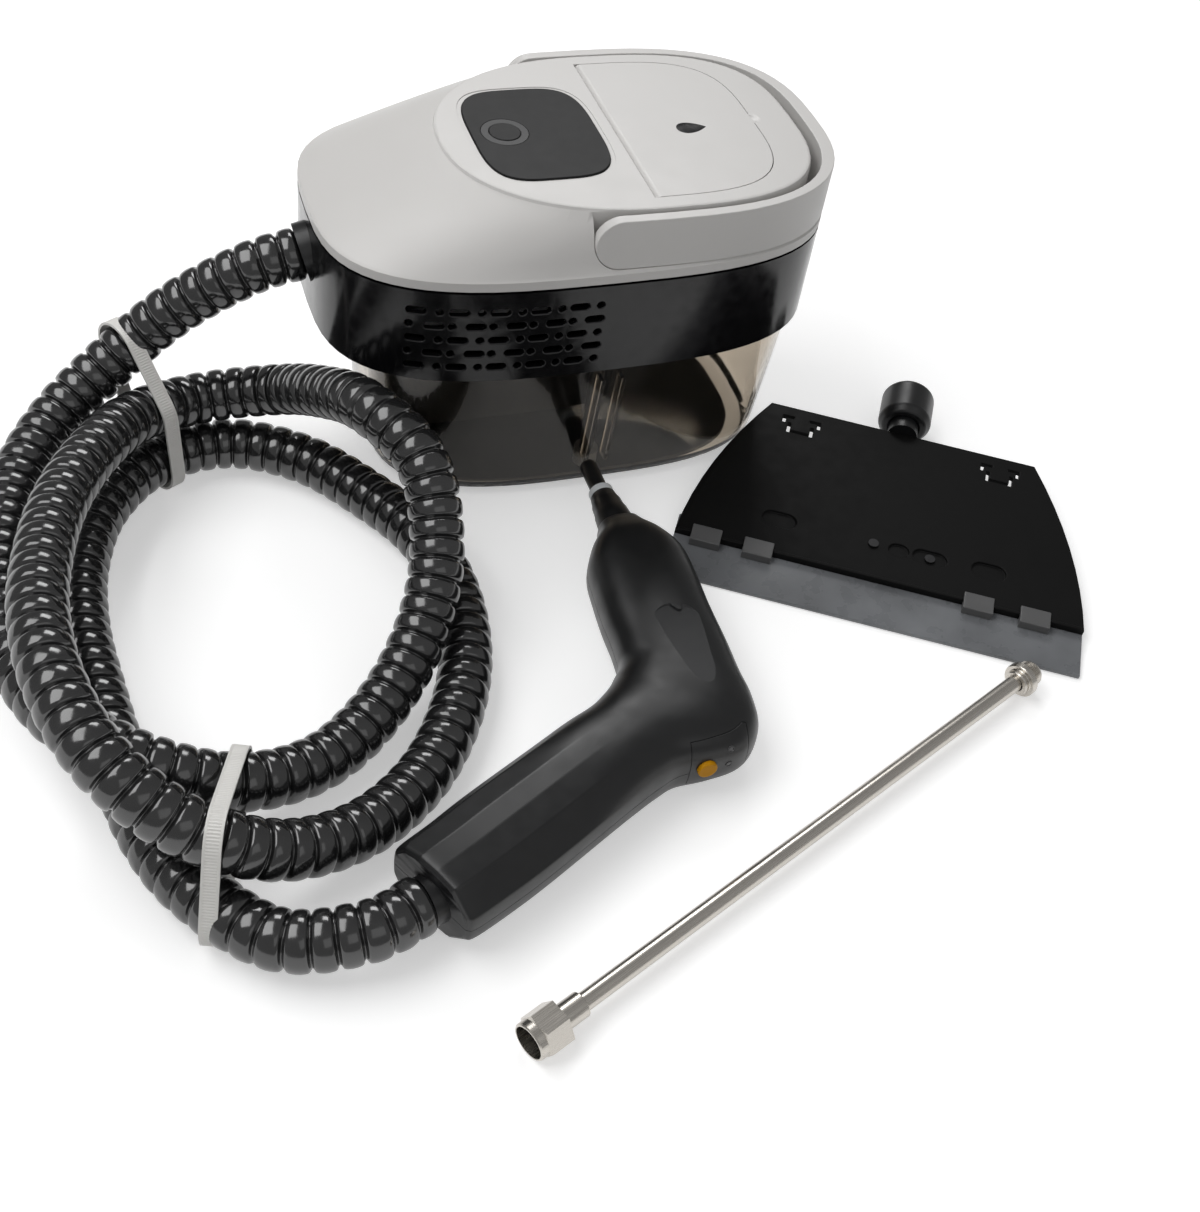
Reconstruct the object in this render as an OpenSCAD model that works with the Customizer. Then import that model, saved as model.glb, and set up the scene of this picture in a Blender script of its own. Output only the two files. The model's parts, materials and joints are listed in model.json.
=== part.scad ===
// Steam cleaner: canister body with a ribbed steam hose and gun, and two accessories beside it.
// Origin at the middle of the base on the floor, +X towards the lid, +Y to the back, +Z up.

/* [Body] */
// Length of the body
body_l = 280; // [260:1:300]
// Width of the body
body_w = 170; // [160:1:185]
// Squareness of the body's outline in plan
body_power = 3.1; // [2.8:0.1:3.6]
// Height of the clear tank
tank_h = 94; // [86:1:105]
// Height of the black band
band_h = 56; // [52:1:64]
// Height of the white cover above the band
cover_h = 36; // [34:1:40]
// Wall thickness of the mouldings
wall = 3; // [2:0.5:4]
// Thickness of the rubber pad under the tank
pad_h = 3; // [2:0.5:5]
// Wall thickness of the tank
tank_wall = 2.5; // [2:0.5:3.5]
// How far the tank stands in under the band, at the sides
tank_inset = 5; // [4:0.5:8]
// How far the tank's hose end stands in under the band
tank_left_in = 26; // [20:1:30]
// How far the tank's walls draw in from top to bottom
tank_taper = 9; // [5:0.5:12]

/* [Cover] */
// Height of the upright lip round the cover
lip_h = 6.5; // [5:0.5:8]
// Left end of the raised top, from the body's middle
top_left = -72; // [-80:1:-66]
// Right end of the raised top, from the body's middle
top_right = 127; // [122:1:129]
// Width of the raised top
top_w = 151; // [140:1:152]
// Radius of the edge round the raised top
top_edge_r = 2; // [1:0.5:3]
// Length of the control panel, along the body
panel_l = 68; // [60:1:72]
// Width of the control panel, across the body
panel_w = 86; // [76:1:92]
// Place of the control panel's middle along the body
panel_x = -20; // [-24:1:-18]
// Diameter of the power button
button_d = 17; // [14:0.5:18]
// Outer diameter of the light ring round the power button
ring_d = 25; // [22:0.5:27]
// Travel of the power button
button_travel = 0.8; // [0.5:0.1:1]

/* [Lid] */
// Line where the lid meets the panel side, from the body's middle
lid_x = 23; // [21:1:26]
// Length of the lid along the body
lid_l = 80; // [72:1:84]
// Width of the lid
lid_w = 131; // [120:1:134]
// Thickness of the lid
lid_t = 3.5; // [3:0.25:4.5]
// Diameter of the lid's hinge pin
lid_pin_d = 3; // [2:0.25:3.5]
// Inner diameter of the filler neck
neck_d = 41; // [34:1:44]

/* [Handle] */
// Height of the carry handle's strap
handle_h = 28; // [24:0.5:29]
// Thickness of the strap at the sides
handle_t = 6; // [5:0.5:6.5]
// Thickness of the strap at the end that the hand lifts
grip_t = 8; // [7:0.5:10]
// Gap between the raised top and the strap's sides
strap_gap = 2; // [1:0.5:2.5]
// Finger gap between the raised top and the strap's end
finger_gap = 6.5; // [6:0.5:9]
// Place of the handle's pivot along the body
pivot_x = 2; // [-2:0.5:6]
// Diameter of the handle's pivot stubs
pivot_d = 10; // [8:0.5:12]

/* [Inside] */
// Diameter of the boiler
boiler_d = 66; // [56:1:68]
// Length of the boiler
boiler_l = 108; // [90:1:110]
// Diameter of the water and steam pipes
pipe_d = 8; // [6:0.5:9]
// Diameter of the water pump
pump_d = 28; // [24:1:30]

/* [Hose] */
// Diameter of the hose over its ribs
hose_od = 28; // [24:0.5:28]
// Diameter of the hose in its grooves
hose_groove_d = 24.5; // [21:0.5:25]
// Bore of the hose
hose_bore_d = 18; // [14:0.5:19]
// Number of ribs
rib_count = 200; // [120:1:200]
// Width of the two nylon ties
tie_w = 8; // [6:0.5:10]
// Thickness of the ties
tie_t = 1.4; // [1:0.1:2]

/* [Gun] */
// Height of the gun's barrel in its profile
barrel_w = 58; // [54:1:62]
// Width of the gun's grip in its profile
grip_w = 54; // [48:1:56]
// Thickness of the gun
gun_t = 44; // [40:1:46]
// Wall thickness of the gun's shells
gun_wall = 2.5; // [2:0.25:3]
// Diameter of the steam button on the gun
trigger_d = 10; // [8:0.5:12]
// Travel of the steam button
trigger_travel = 1.5; // [1:0.1:1.6]
// Diameter of the nozzle's tip
tip_d = 10; // [8:0.5:11]

/* [Wand] */
// Length of the wand between its ends
wand_l = 355; // [300:5:400]
// Diameter of the wand's tube
wand_d = 9; // [8:0.5:10]
// Nut size across its flats
nut_af = 19; // [18:0.5:21]

/* [Head] */
// Length of the head's blade edge
head_l = 234; // [210:2:240]
// Depth of the head's plate
head_depth = 122; // [105:1:125]
// Thickness of the head's plate
head_t = 3.5; // [3:0.25:5]
// Width of the rubber blade that shows
blade_w = 33; // [25:1:36]
// Thickness of the rubber blade
blade_t = 2.5; // [2:0.25:3]
// Diameter of the collar that joins the head to the nozzle
collar_d = 32; // [30:0.5:33]

/* [Hidden] */
$fn = 48;
fit = 0.3;
pin_fit = 0.05;
eps = 0.01;
big = 400;
elbow_swell = 1.1;
outline_points = 64;

z_tank = pad_h;
z_band = z_tank + tank_h;
z_rim = z_band + band_h;
z_top = z_rim + cover_h;
z_lip = z_rim + lip_h;
gasket_h = 2;
gasket_w = 5;
seam_h = 1.5;
seam_inset = 1;
tank_a = (body_l - tank_inset - tank_left_in) / 2;
tank_b = body_w / 2 - tank_inset;
tank_x = (tank_left_in - tank_inset) / 2;

top_x = 28;
top_b = top_w / 2;
top_power_right = 3;
top_power_left = 2.2;
slope_bow = 1.12;
bezel_w = 2.5;
bezel_depth = 0.4;
scoop_r = 13;
scoop_depth = 1.2;
recess_depth = 2.2;
panel_proud = 0.6;
panel_power = 3.7;
button_x = panel_x - 16;
button_y = 2;
button_proud = 0.9;
ceiling_z = z_top - wall;
tray_z = z_top - lid_t - fit;
tray_t = 5;
tray_under_z = tray_z - tray_t;
tray_left = lid_x - 8;
lid_power = 3.6;
lid_axis_x = lid_x + lid_t;
lid_axis_z = z_top - lid_t;
lid_gap = 0.5;
neck_x = lid_x + 40;
neck_wall = 2.5;
neck_r = neck_d / 2 + neck_wall;
neck_flange = 5;
neck_dip = 10;
seal_w = 3.5;
seal_h = 1.5;

pivot_z = z_lip + fit + handle_h / 2;
ledge_z = pivot_z - handle_h / 2 - fit;
handle_inner_b = top_b + strap_gap;
handle_outer_b = handle_inner_b + handle_t;
handle_inner_a = top_right + finger_gap - top_x;
handle_outer_a = handle_inner_a + grip_t;
handle_inner_power = 2.95;
handle_outer_power = 2.75;
stub_l = 11;
stub_end_d = pivot_d - 3;
washer_t = 2;
washer_d = pivot_d + 6;
washer_gap = 0.4;

well_gap = 5;
well_flange = 4;
well_left = tank_x - tank_a + gasket_w + well_gap;
well_right = neck_x - neck_r - well_flange - 2;
well_x = (well_left + well_right) / 2;
well_a = (well_right - well_left) / 2;
well_b = boiler_d / 2 + 9;
well_power = 5;
well_wall = 2;
well_depth = boiler_d - 6;
well_z = z_band - well_depth;
saddle_h = 3;
boiler_x = well_x - 6;
port_in = 16;
port_x = boiler_l / 2 - port_in;
boiler_z = well_z + well_wall + saddle_h + boiler_d / 2;
gland_z = z_band + 31;
gland_tilt = 15;
gland_r = hose_od / 2 + 1.5;
gland_flange_t = 3;
gland_l = gland_flange_t + wall + 12;
suction_x = 11;
suction_y = -(well_b + pipe_d / 2 + 8);
pump_x = [58, 100];
pump_y = suction_y;
pump_z = z_band + wall + 5 + pump_d / 2;
board_z = ceiling_z - 9;
board_t = 1.6;
board_l = 54;
board_w = 62;
post_d = 6;
post_at = [board_l / 2 - 5, board_w / 2 - 5];

// Vent rows: a slot and a dot in turn, the next row starts with the dot
vent_left = -105.5;
vent_pitch_x = 20.8;
vent_pitch_z = 8.5;
vent_rows = 5;
vent_pairs = 5;
vent_top = z_rim - 13;
vent_slot = 10;
vent_h = 3.6;

gun_x = 3.5;
gun_z = gun_t / 2 + 0.5;
gun_front = -127;
gun_back = -297.5;
grip_end = [-156, -335];
valve_y = -234;
gun_power = 2.7;
cap_depth = 12;
cap_x = [-18.5, 12.5];
cap_z = [gun_z - 9, gun_z + 16.5];
trigger_x = -10;
trigger_z = gun_z + 2;
lens_x = 2;
lens_d = 4;
// Each lens: its height and how far the rounded face lies in there
lenses = [[gun_z + 1, 0.5], [gun_z + 10.5, 2.2]];
hose_end_angle = 16.7;
cuff_l = 16;
cuff_out = 4;

wand_start = [-132, -406];
wand_angle = 23;
wand_z = nut_af / 2;
nut_l = 17;
nut_bore_d = 16;
nut_depth = 11;
nut_relief = 1.5;
ferrule_l = 16;
fitting_l = 15;
wand_seal_t = 1.8;

head_at = [144.7, -180.2];
head_yaw = -32;
head_tilt = 4;
head_z = blade_t + blade_w * sin(head_tilt) + 0.5;
head_edge_v = -6;
clip_at = [-99, -69, 57, 89];
clip_l = 17;
collar_l = 30;
neck_l = 8;
neck_post_d = 18;
neck_root = 26;
neck_tongue = 5;
rail_w = 2;
rail_h = 1;

// Hose route between its straight ends, chosen by eye along its loops on the floor
hose_exit = [-body_l / 2 - gland_flange_t, 0, gland_z];
gland_dir = [-cos(gland_tilt), 0, -sin(gland_tilt)];
finish_dir = [cos(hose_end_angle), sin(hose_end_angle), 0];
hose_finish = [grip_end[0], grip_end[1], gun_z] - finish_dir * cuff_out;
loops = [
    [-207, 3, 99], [-241, -1, 74], [-275, -20, 55], [-299, -54, 46], [-311, -95, 45],
    [-315, -138, 45], [-311, -181, 47], [-295, -221, 48], [-264, -249, 43], [-225, -257, 28],
    [-185, -246, 18], [-150, -222, 23], [-123, -191, 38], [-108, -158, 60], [-108, -123, 85],
    [-127, -86, 92], [-142, -50, 75], [-161, -19, 54], [-200, -9, 46], [-237, -28, 54],
    [-262, -62, 63], [-281, -100, 69], [-293, -141, 74], [-299, -184, 78], [-296, -227, 78],
    [-282, -266, 70], [-253, -293, 52], [-216, -301, 33], [-177, -290, 20], [-142, -265, 15],
    [-116, -231, 15], [-100, -192, 15], [-95, -149, 16], [-102, -107, 16], [-122, -69, 15],
    [-150, -35, 16], [-188, -16, 17], [-229, -24, 18], [-260, -54, 17], [-276, -94, 16],
    [-281, -136, 15], [-279, -179, 15], [-275, -222, 15], [-268, -265, 15], [-253, -302, 17],
    [-224, -336, 19]
];
route = concat([hose_exit, hose_exit + gland_dir * hose_od], loops,
               [hose_finish - finish_dir * hose_od, hose_finish]);
// Each tie: a point it is drawn round, its heading, and the strands' places across it
upper_tie_at = [-228, -18, 46];
upper_tie_turn = 207;
upper_strands = [[-20.4, 30.5], [2.6, 5], [4.9, -28]];
lower_tie_at = [-238, -290, 36];
lower_tie_turn = -20;
lower_strands = [[35.1, -7.7], [-8.4, 9.3], [-23.9, -18.5]];
tie_slack = 1.6;

white = [0.83, 0.82, 0.81];
black = [0.05, 0.05, 0.055];
smoke = [0.35, 0.34, 0.33, 0.45];
steel = [0.72, 0.71, 0.68];
grey = [0.55, 0.55, 0.55];
brass = [0.75, 0.6, 0.3];

// Outlines

function bend(c, power) = sign(c) * pow(abs(c), 2 / power);
function oval(a, b, power, cx = 0, count = outline_points, power_left = 0) =
    [for (i = [0:count - 1])
        let (t = 360 * i / count, p = cos(t) < 0 && power_left > 0 ? power_left : power)
        [cx + a * bend(cos(t), p), b * bend(sin(t), p)]];
function body_outline(inset = 0) = oval(body_l / 2 - inset, body_w / 2 - inset, body_power);
function top_outline(inset = 0) =
    [for (i = [0:outline_points - 1])
        let (t = 360 * i / outline_points, right = cos(t) >= 0,
             a = (right ? top_right - top_x : top_x - top_left) - inset,
             p = right ? top_power_right : top_power_left)
        [top_x + a * bend(cos(t), p), (top_b - inset) * bend(sin(t), p)]];
function at_height(points, z) = [for (p = points) [p[0], p[1], z]];
function blend(from, to, k) = [for (i = [0:len(from) - 1]) from[i] * (1 - k) + to[i] * k];

// A closed solid through a stack of rings with the same number of points
module loft(rings) {
    n = len(rings[0]);
    points = [for (r = rings) each r];
    sides = [for (k = [0:len(rings) - 2], i = [0:n - 1])
        each [[k * n + i, (k + 1) * n + i, k * n + (i + 1) % n],
              [k * n + (i + 1) % n, (k + 1) * n + i, (k + 1) * n + (i + 1) % n]]];
    bottom = [for (i = [0:n - 1]) i];
    top = [for (i = [n - 1:-1:0]) (len(rings) - 1) * n + i];
    polyhedron(points, concat([bottom], sides, [top]));
}

module slab(outline, z0, z1) {
    translate([0, 0, z0]) linear_extrude(z1 - z0) polygon(outline);
}

module ring_slab(outer, inner, z0, z1) {
    translate([0, 0, z0]) linear_extrude(z1 - z0) difference() { polygon(outer); polygon(inner); }
}

// A run of round pipe through the given points
module pipe(points, d) {
    for (k = [0:len(points) - 2]) {
        run = points[k + 1] - points[k];
        translate(points[k]) rotate([0, acos(run[2] / norm(run)), atan2(run[1], run[0])])
            cylinder(d = d, h = norm(run));
        if (k > 0) translate(points[k]) sphere(d = d * elbow_swell);
    }
}

module along_y(from, to, d) {
    translate([0, from, 0]) rotate([-90, 0, 0]) cylinder(d = d, h = to - from);
}

module along_x(from, to, d) {
    translate([from, 0, 0]) rotate([0, 90, 0]) cylinder(d = d, h = to - from);
}

// Tank and base

function tank_ring(z, inset, foot = 0) =
    let (k = (z - z_tank) / (z_band - gasket_h - z_tank), draw = tank_taper * (1 - k) + foot)
    at_height(oval(tank_a - inset - draw * 0.6, tank_b - inset - draw, body_power, tank_x), z);

module tank_rails() {
    rail_w = 2.5;
    rail_gap = pipe_d + 4;
    for (side = [-1, 1])
        intersection() {
            translate([suction_x + side * rail_gap / 2 - rail_w / 2, -body_w, z_tank + 16])
                cube([rail_w, body_w, tank_h - 30]);
            difference() {
                loft([tank_ring(z_tank, tank_wall / 2), tank_ring(z_band - gasket_h, tank_wall / 2)]);
                loft([tank_ring(z_tank - 1, tank_wall + 7), tank_ring(z_band, tank_wall + 7)]);
            }
        }
}

module tank() {
    color(smoke) {
        difference() {
            loft([tank_ring(z_tank, 0, 6), tank_ring(z_tank + 1.5, 0, 2.5), tank_ring(z_tank + 5, 0, 0.5),
                  tank_ring(z_tank + 9, 0), tank_ring(z_band - gasket_h, 0)]);
            loft([tank_ring(z_tank + wall, tank_wall, 3), tank_ring(z_tank + wall + 4, tank_wall),
                  tank_ring(z_band - gasket_h + eps, tank_wall)]);
        }
        tank_rails();
    }
}

module tank_gasket() {
    color(black)
        ring_slab(oval(tank_a, tank_b, body_power, tank_x),
                  oval(tank_a - gasket_w, tank_b - gasket_w, body_power, tank_x), z_band - gasket_h, z_band);
}

module base_pad() {
    pad_inset = tank_taper + 10;
    color(black) slab(oval(tank_a - pad_inset, tank_b - pad_inset, body_power, tank_x), 0, pad_h);
}

// Black band with its vents

module vent_pattern() {
    for (row = [0:vent_rows - 1], pair = [0:vent_pairs - 1]) {
        slot_first = row % 2 == 0;
        x = vent_left + pair * vent_pitch_x;
        slot_x = x + (slot_first ? vent_slot / 2 : vent_pitch_x - vent_slot / 2 - 2);
        dot_x = x + (slot_first ? vent_pitch_x - vent_h - 1 : vent_h / 2);
        translate([slot_x, vent_top - row * vent_pitch_z]) obround(vent_slot, vent_h);
        translate([dot_x, vent_top - row * vent_pitch_z]) circle(d = vent_h);
    }
}

module mid_housing() {
    color(black)
        difference() {
            union() {
                slab(body_outline(), z_band, z_rim - seam_h);
                slab(body_outline(seam_inset), z_rim - seam_h - eps, z_rim);
            }
            slab(body_outline(wall), z_band + wall, z_rim + 1);
            slab(oval(well_a + fit, well_b + fit, well_power, well_x), z_band - 1, z_band + wall + 1);
            translate([neck_x, 0, z_band - 1]) cylinder(r = neck_r + fit, h = wall + 2);
            translate([suction_x, suction_y, z_band - 1]) cylinder(d = pipe_d + fit, h = wall + 2);
            rotate([90, 0, 0]) translate([0, 0, -body_w]) linear_extrude(2 * body_w) vent_pattern();
            gland_place() translate([0, 0, -20]) cylinder(r = gland_r - 3, h = 40);
            translate([cord_x, 0, cord_z]) along_y(0, body_w, cord_bush_d);
            for (p = well_screw_at) translate([p[0], p[1], z_band - 1]) cylinder(d = screw_d, h = wall + 2);
        }
}

// Boiler compartment that hangs in the tank

screw_d = 3;
well_screw_at = [for (sx = [-1, 1], sy = [-1, 1]) [well_x + sx * (well_a - 24), sy * (well_b + 2.2)]];

module boiler_well() {
    z_seat = z_band + wall;
    color(black)
        difference() {
            union() {
                slab(oval(well_a, well_b, well_power, well_x), well_z, z_seat);
                slab(oval(well_a + well_flange, well_b + well_flange + 2, well_power, well_x),
                     z_seat, z_seat + well_wall);
            }
            slab(oval(well_a - well_wall, well_b - well_wall, well_power, well_x),
                 well_z + well_wall, z_seat + well_wall + 1);
            for (p = well_screw_at) translate([p[0], p[1], z_seat - 1]) cylinder(d = screw_d, h = 5);
        }
}

module screw(d, head_d, shank, head) {
    translate([0, 0, -shank]) cylinder(d = d, h = shank);
    cylinder(d = head_d, h = head);
}

module well_screws() {
    color(steel)
        for (p = well_screw_at)
            translate([p[0], p[1], z_band + wall + well_wall]) screw(screw_d, 5.5, wall + well_wall - 0.5, 2);
}

// White cover

module cover_form(inset, z_bottom, z_roof) {
    steps = 5;
    z_slope = z_roof - top_edge_r;
    lip = body_outline(inset + 1.5);
    crest = top_outline(inset);
    loft(concat(
        [at_height(body_outline(inset), z_bottom), at_height(body_outline(inset), z_lip - 1.5)],
        [for (k = [0:steps])
            let (u = k / steps)
            at_height(blend(lip, crest, u), z_lip + (z_slope - z_lip) * (1 - pow(1 - u, slope_bow)))],
        [at_height(top_outline(inset + top_edge_r * 0.3), z_roof - top_edge_r * 0.3),
         at_height(top_outline(inset + top_edge_r), z_roof)]));
}

// Room for the strap: outside the raised top, from the ledge up, rounded behind the pivot
module handle_channel() {
    r = handle_h / 2 + fit;
    intersection() {
        translate([0, 0, ledge_z - 1]) linear_extrude(big)
            difference() { square(2 * big, center = true); polygon(top_outline()); }
        rotate([90, 0, 0]) translate([0, 0, -body_w]) linear_extrude(2 * body_w) {
            translate([pivot_x, pivot_z]) circle(r = r);
            translate([pivot_x - r, pivot_z]) square([big, big]);
            translate([pivot_x, ledge_z]) square([big, big]);
        }
    }
}

module cover_hollow() {
    intersection() {
        cover_form(wall, z_rim - 1, ceiling_z);
        translate([pivot_x - handle_h / 2 - fit - wall - big, -big / 2, 0]) cube([big, big, big]);
    }
    slab(top_outline(wall), z_rim - 1, tray_under_z);
    intersection() {
        slab(top_outline(wall), z_rim - 1, ceiling_z);
        translate([tray_left - big, -big / 2, 0]) cube([big, big, big]);
    }
}

module lid_outline(grow) {
    intersection() {
        polygon(oval(lid_l + grow, lid_w / 2 + grow, lid_power, lid_x));
        translate([lid_axis_x, -big / 2]) square(big);
    }
}

module lid_recess() {
    translate([0, 0, tray_z]) linear_extrude(lid_t + 1) lid_outline(lid_gap);
    translate([lid_axis_x, 0, lid_axis_z])
        along_y(-lid_w / 2 - lid_gap, lid_w / 2 + lid_gap, 2 * (lid_t + fit + 0.1));
    translate([lid_x - fit - 0.1, -lid_w / 2 - lid_gap, lid_axis_z])
        cube([lid_t + 1, lid_w + 2 * lid_gap, lid_t + 1]);
    translate([neck_x, 0, tray_under_z - 1]) cylinder(d = neck_d, h = tray_t + 2);
    // Scoop for a fingertip at the lid's free end
    translate([lid_x + lid_l, 0, z_top + scoop_r - scoop_depth]) sphere(r = scoop_r);
}

module board_posts() {
    for (sx = [-1, 1], sy = [-1, 1])
        translate([panel_x + sx * post_at[0], sy * post_at[1], board_z + board_t])
            cylinder(d = post_d, h = ceiling_z - board_z);
}

module pivot_boss() {
    for (side = [0, 1])
        mirror([0, side, 0]) translate([pivot_x, 0, pivot_z])
            along_y(handle_inner_b - stub_l + washer_gap, top_b - 1, pivot_d + 6);
}

module pivot_bores() {
    for (side = [0, 1])
        mirror([0, side, 0]) translate([pivot_x, 0, pivot_z])
            along_y(handle_inner_b - stub_l - washer_t, body_w, pivot_d + 2 * pin_fit);
}

module top_cover() {
    color(white)
        difference() {
            union() {
                difference() {
                    cover_form(0, z_rim, z_top);
                    handle_channel();
                    cover_hollow();
                }
                board_posts();
                pivot_boss();
            }
            slab(oval(panel_l / 2 + fit, panel_w / 2 + fit, panel_power, panel_x),
                 z_top - recess_depth, z_top + 1);
            slab(oval(panel_l / 2 + bezel_w, panel_w / 2 + bezel_w, panel_power, panel_x),
                 z_top - bezel_depth, z_top + 1);
            translate([button_x, button_y, ceiling_z - 1]) cylinder(d = button_d - 5, h = wall + 2);
            lid_recess();
            translate([lid_axis_x, 0, lid_axis_z]) along_y(-lid_pin_half, lid_pin_half, lid_pin_d);
            pivot_bores();
            for (sx = [-1, 1], sy = [-1, 1])
                translate([panel_x + sx * post_at[0], sy * post_at[1], board_z])
                    cylinder(d = board_screw_d, h = 8);
        }
}

// Control panel and power button

module control_panel() {
    color(black)
        difference() {
            slab(oval(panel_l / 2, panel_w / 2, panel_power, panel_x),
                 z_top - recess_depth, z_top + panel_proud);
            translate([button_x, button_y, z_top - recess_depth - 1])
                cylinder(d = button_d + 2 * pin_fit, h = recess_depth + 3);
            translate([button_x, button_y, z_top - 0.6]) cylinder(d = ring_d, h = 2);
        }
}

module button_ring() {
    color(grey)
        translate([button_x, button_y, z_top - 0.6])
            difference() {
                cylinder(d = ring_d, h = 0.6 + panel_proud);
                translate([0, 0, -1]) cylinder(d = button_d + 2 * pin_fit, h = 4);
            }
}

module power_button() {
    under = z_top - recess_depth + button_travel + 0.2;
    stem_z = board_z + board_t + switch_h + button_travel + 0.2;
    color(black)
        translate([button_x, button_y, 0]) {
            translate([0, 0, under]) cylinder(d = button_d, h = z_top + button_proud - under);
            translate([0, 0, stem_z]) cylinder(d = 5, h = under - stem_z + eps);
        }
}

// Lid with its hinge pin and seal

lid_pin_half = (lid_w / 2 + top_b) / 2;

module filler_lid() {
    color(white)
        difference() {
            union() {
                translate([0, 0, z_top - lid_t]) linear_extrude(lid_t) lid_outline(0);
                translate([lid_axis_x, 0, lid_axis_z]) along_y(-lid_w / 2, lid_w / 2, 2 * lid_t);
            }
            translate([lid_axis_x, 0, lid_axis_z])
                along_y(-lid_w, lid_w, lid_pin_d + 2 * pin_fit);
            translate([neck_x, 0, z_top - lid_t - 1]) seal_ring(1 + seal_h);
        }
}

module seal_ring(h) {
    difference() {
        cylinder(r = neck_d / 2 + 2 + seal_w, h = h);
        translate([0, 0, -1]) cylinder(r = neck_d / 2 + 2, h = h + 2);
    }
}

module lid_seal() {
    color(grey) translate([neck_x, 0, z_top - lid_t]) seal_ring(seal_h);
}

module lid_hinge_pin() {
    color(steel) translate([lid_axis_x, 0, lid_axis_z]) along_y(-lid_pin_half, lid_pin_half, lid_pin_d);
}

module filler_neck() {
    z_low = z_band - neck_dip;
    color(black)
        translate([neck_x, 0, 0])
            difference() {
                union() {
                    translate([0, 0, z_low]) cylinder(r = neck_r, h = tray_under_z - z_low);
                    translate([0, 0, tray_under_z - 2]) cylinder(r = neck_r + neck_flange, h = 2);
                }
                translate([0, 0, z_low - 1]) cylinder(d = neck_d, h = tray_under_z - z_low + 2);
            }
}

// Carry handle

module carry_handle() {
    outer = oval(handle_outer_a, handle_outer_b, handle_outer_power, top_x);
    inner = oval(handle_inner_a, handle_inner_b, handle_inner_power, top_x);
    color(white) {
        intersection() {
            ring_slab(outer, inner, pivot_z - handle_h / 2, pivot_z + handle_h / 2);
            rotate([90, 0, 0]) translate([0, 0, -body_w]) linear_extrude(2 * body_w) {
                translate([pivot_x, pivot_z]) circle(d = handle_h);
                translate([pivot_x, pivot_z - handle_h / 2]) square([big, handle_h]);
            }
        }
        for (side = [0, 1])
            mirror([0, side, 0]) translate([pivot_x, 0, pivot_z]) {
                along_y(handle_inner_b - stub_l, handle_inner_b + 1, pivot_d);
                along_y(handle_inner_b - stub_l - 2 * washer_t, handle_inner_b - stub_l + eps, stub_end_d);
            }
    }
}

module handle_washers() {
    color(steel)
        for (side = [0, 1])
            mirror([0, side, 0]) translate([pivot_x, 0, pivot_z])
                difference() {
                    along_y(handle_inner_b - stub_l - washer_t, handle_inner_b - stub_l, washer_d);
                    along_y(0, body_w, stub_end_d);
                }
}

// Boiler and water side

module boiler() {
    r = boiler_d / 2;
    round_r = 14;
    color(steel)
        translate([boiler_x - boiler_l / 2, 0, boiler_z]) rotate([0, 90, 0])
            rotate_extrude()
                difference() {
                    union() {
                        translate([0, round_r]) square([r, boiler_l - 2 * round_r]);
                        square([r - round_r, boiler_l]);
                        for (x = [round_r, boiler_l - round_r])
                            translate([r - round_r, x]) circle(r = round_r);
                    }
                    translate([-r, -1]) square([r, boiler_l + 2]);
                }
}

module boiler_saddles() {
    saddle_l = 14;
    color(grey)
        for (x = [boiler_x - port_x + 3, boiler_x + port_x - 3])
            translate([x - saddle_l / 2, 0, 0])
                difference() {
                    translate([0, -boiler_d / 3, well_z + well_wall])
                        cube([saddle_l, 2 * boiler_d / 3, boiler_d / 3]);
                    translate([0, 0, boiler_z]) along_x(-1, saddle_l + 1, boiler_d);
                }
}

module heater_element() {
    x = boiler_x + boiler_l / 2;
    color(brass)
        translate([0, 0, boiler_z]) {
            along_x(x, x + 3, 26);
            for (y = [-7, 7]) translate([0, y, 0]) along_x(x + 3, x + 12, 6);
        }
}

module thermostat() {
    color(grey)
        translate([boiler_x + 15, 0, boiler_z + boiler_d / 2 - 1.2])
            difference() {
                cylinder(d = 16, h = 9);
                translate([0, 0, 1.2 - boiler_d / 2]) along_x(-20, 20, boiler_d);
            }
}

module safety_valve() {
    color(brass)
        translate([boiler_x - 15, 0, boiler_z + boiler_d / 2 - 1.2])
            difference() {
                union() {
                    cylinder(d = 14, h = 7, $fn = 6);
                    translate([0, 0, 7]) cylinder(d = 10, h = 10);
                }
                translate([0, 0, 1.2 - boiler_d / 2]) along_x(-20, 20, boiler_d);
            }
}

module water_pump() {
    color(grey) {
        translate([0, pump_y, pump_z]) {
            along_x(pump_x[0], pump_x[1], pump_d);
            along_x(pump_x[0] - 6, pump_x[0] + 1, pipe_d + 3);
        }
        translate([pump_x[0] + 8, pump_y - pump_d / 2, z_band + wall])
            cube([pump_x[1] - pump_x[0] - 16, pump_d, pump_z - z_band - wall - pump_d / 2 + 4]);
    }
}

module suction_tube() {
    color(black)
        pipe([[suction_x, suction_y, z_tank + wall + 10], [suction_x, suction_y, pump_z],
              [pump_x[0] - 6, pump_y, pump_z]], pipe_d);
}

module suction_filter() {
    color(grey) translate([suction_x, suction_y, z_tank + wall]) cylinder(d = pipe_d + 6, h = 10);
}

module feed_tube() {
    z_run = pump_z + pump_d / 2 + 8;
    rise_x = pump_x[0] + 14;
    drop_x = boiler_x + port_x;
    color(grey)
        difference() {
            pipe([[rise_x, pump_y, pump_z], [rise_x, pump_y, z_run],
                  [drop_x, 0, z_run], [drop_x, 0, boiler_z]], pipe_d - 2);
            translate([0, pump_y, pump_z]) along_x(rise_x - pipe_d, rise_x + pipe_d, pump_d);
            translate([0, 0, boiler_z]) along_x(drop_x - pipe_d, drop_x + pipe_d, boiler_d);
        }
}

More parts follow.
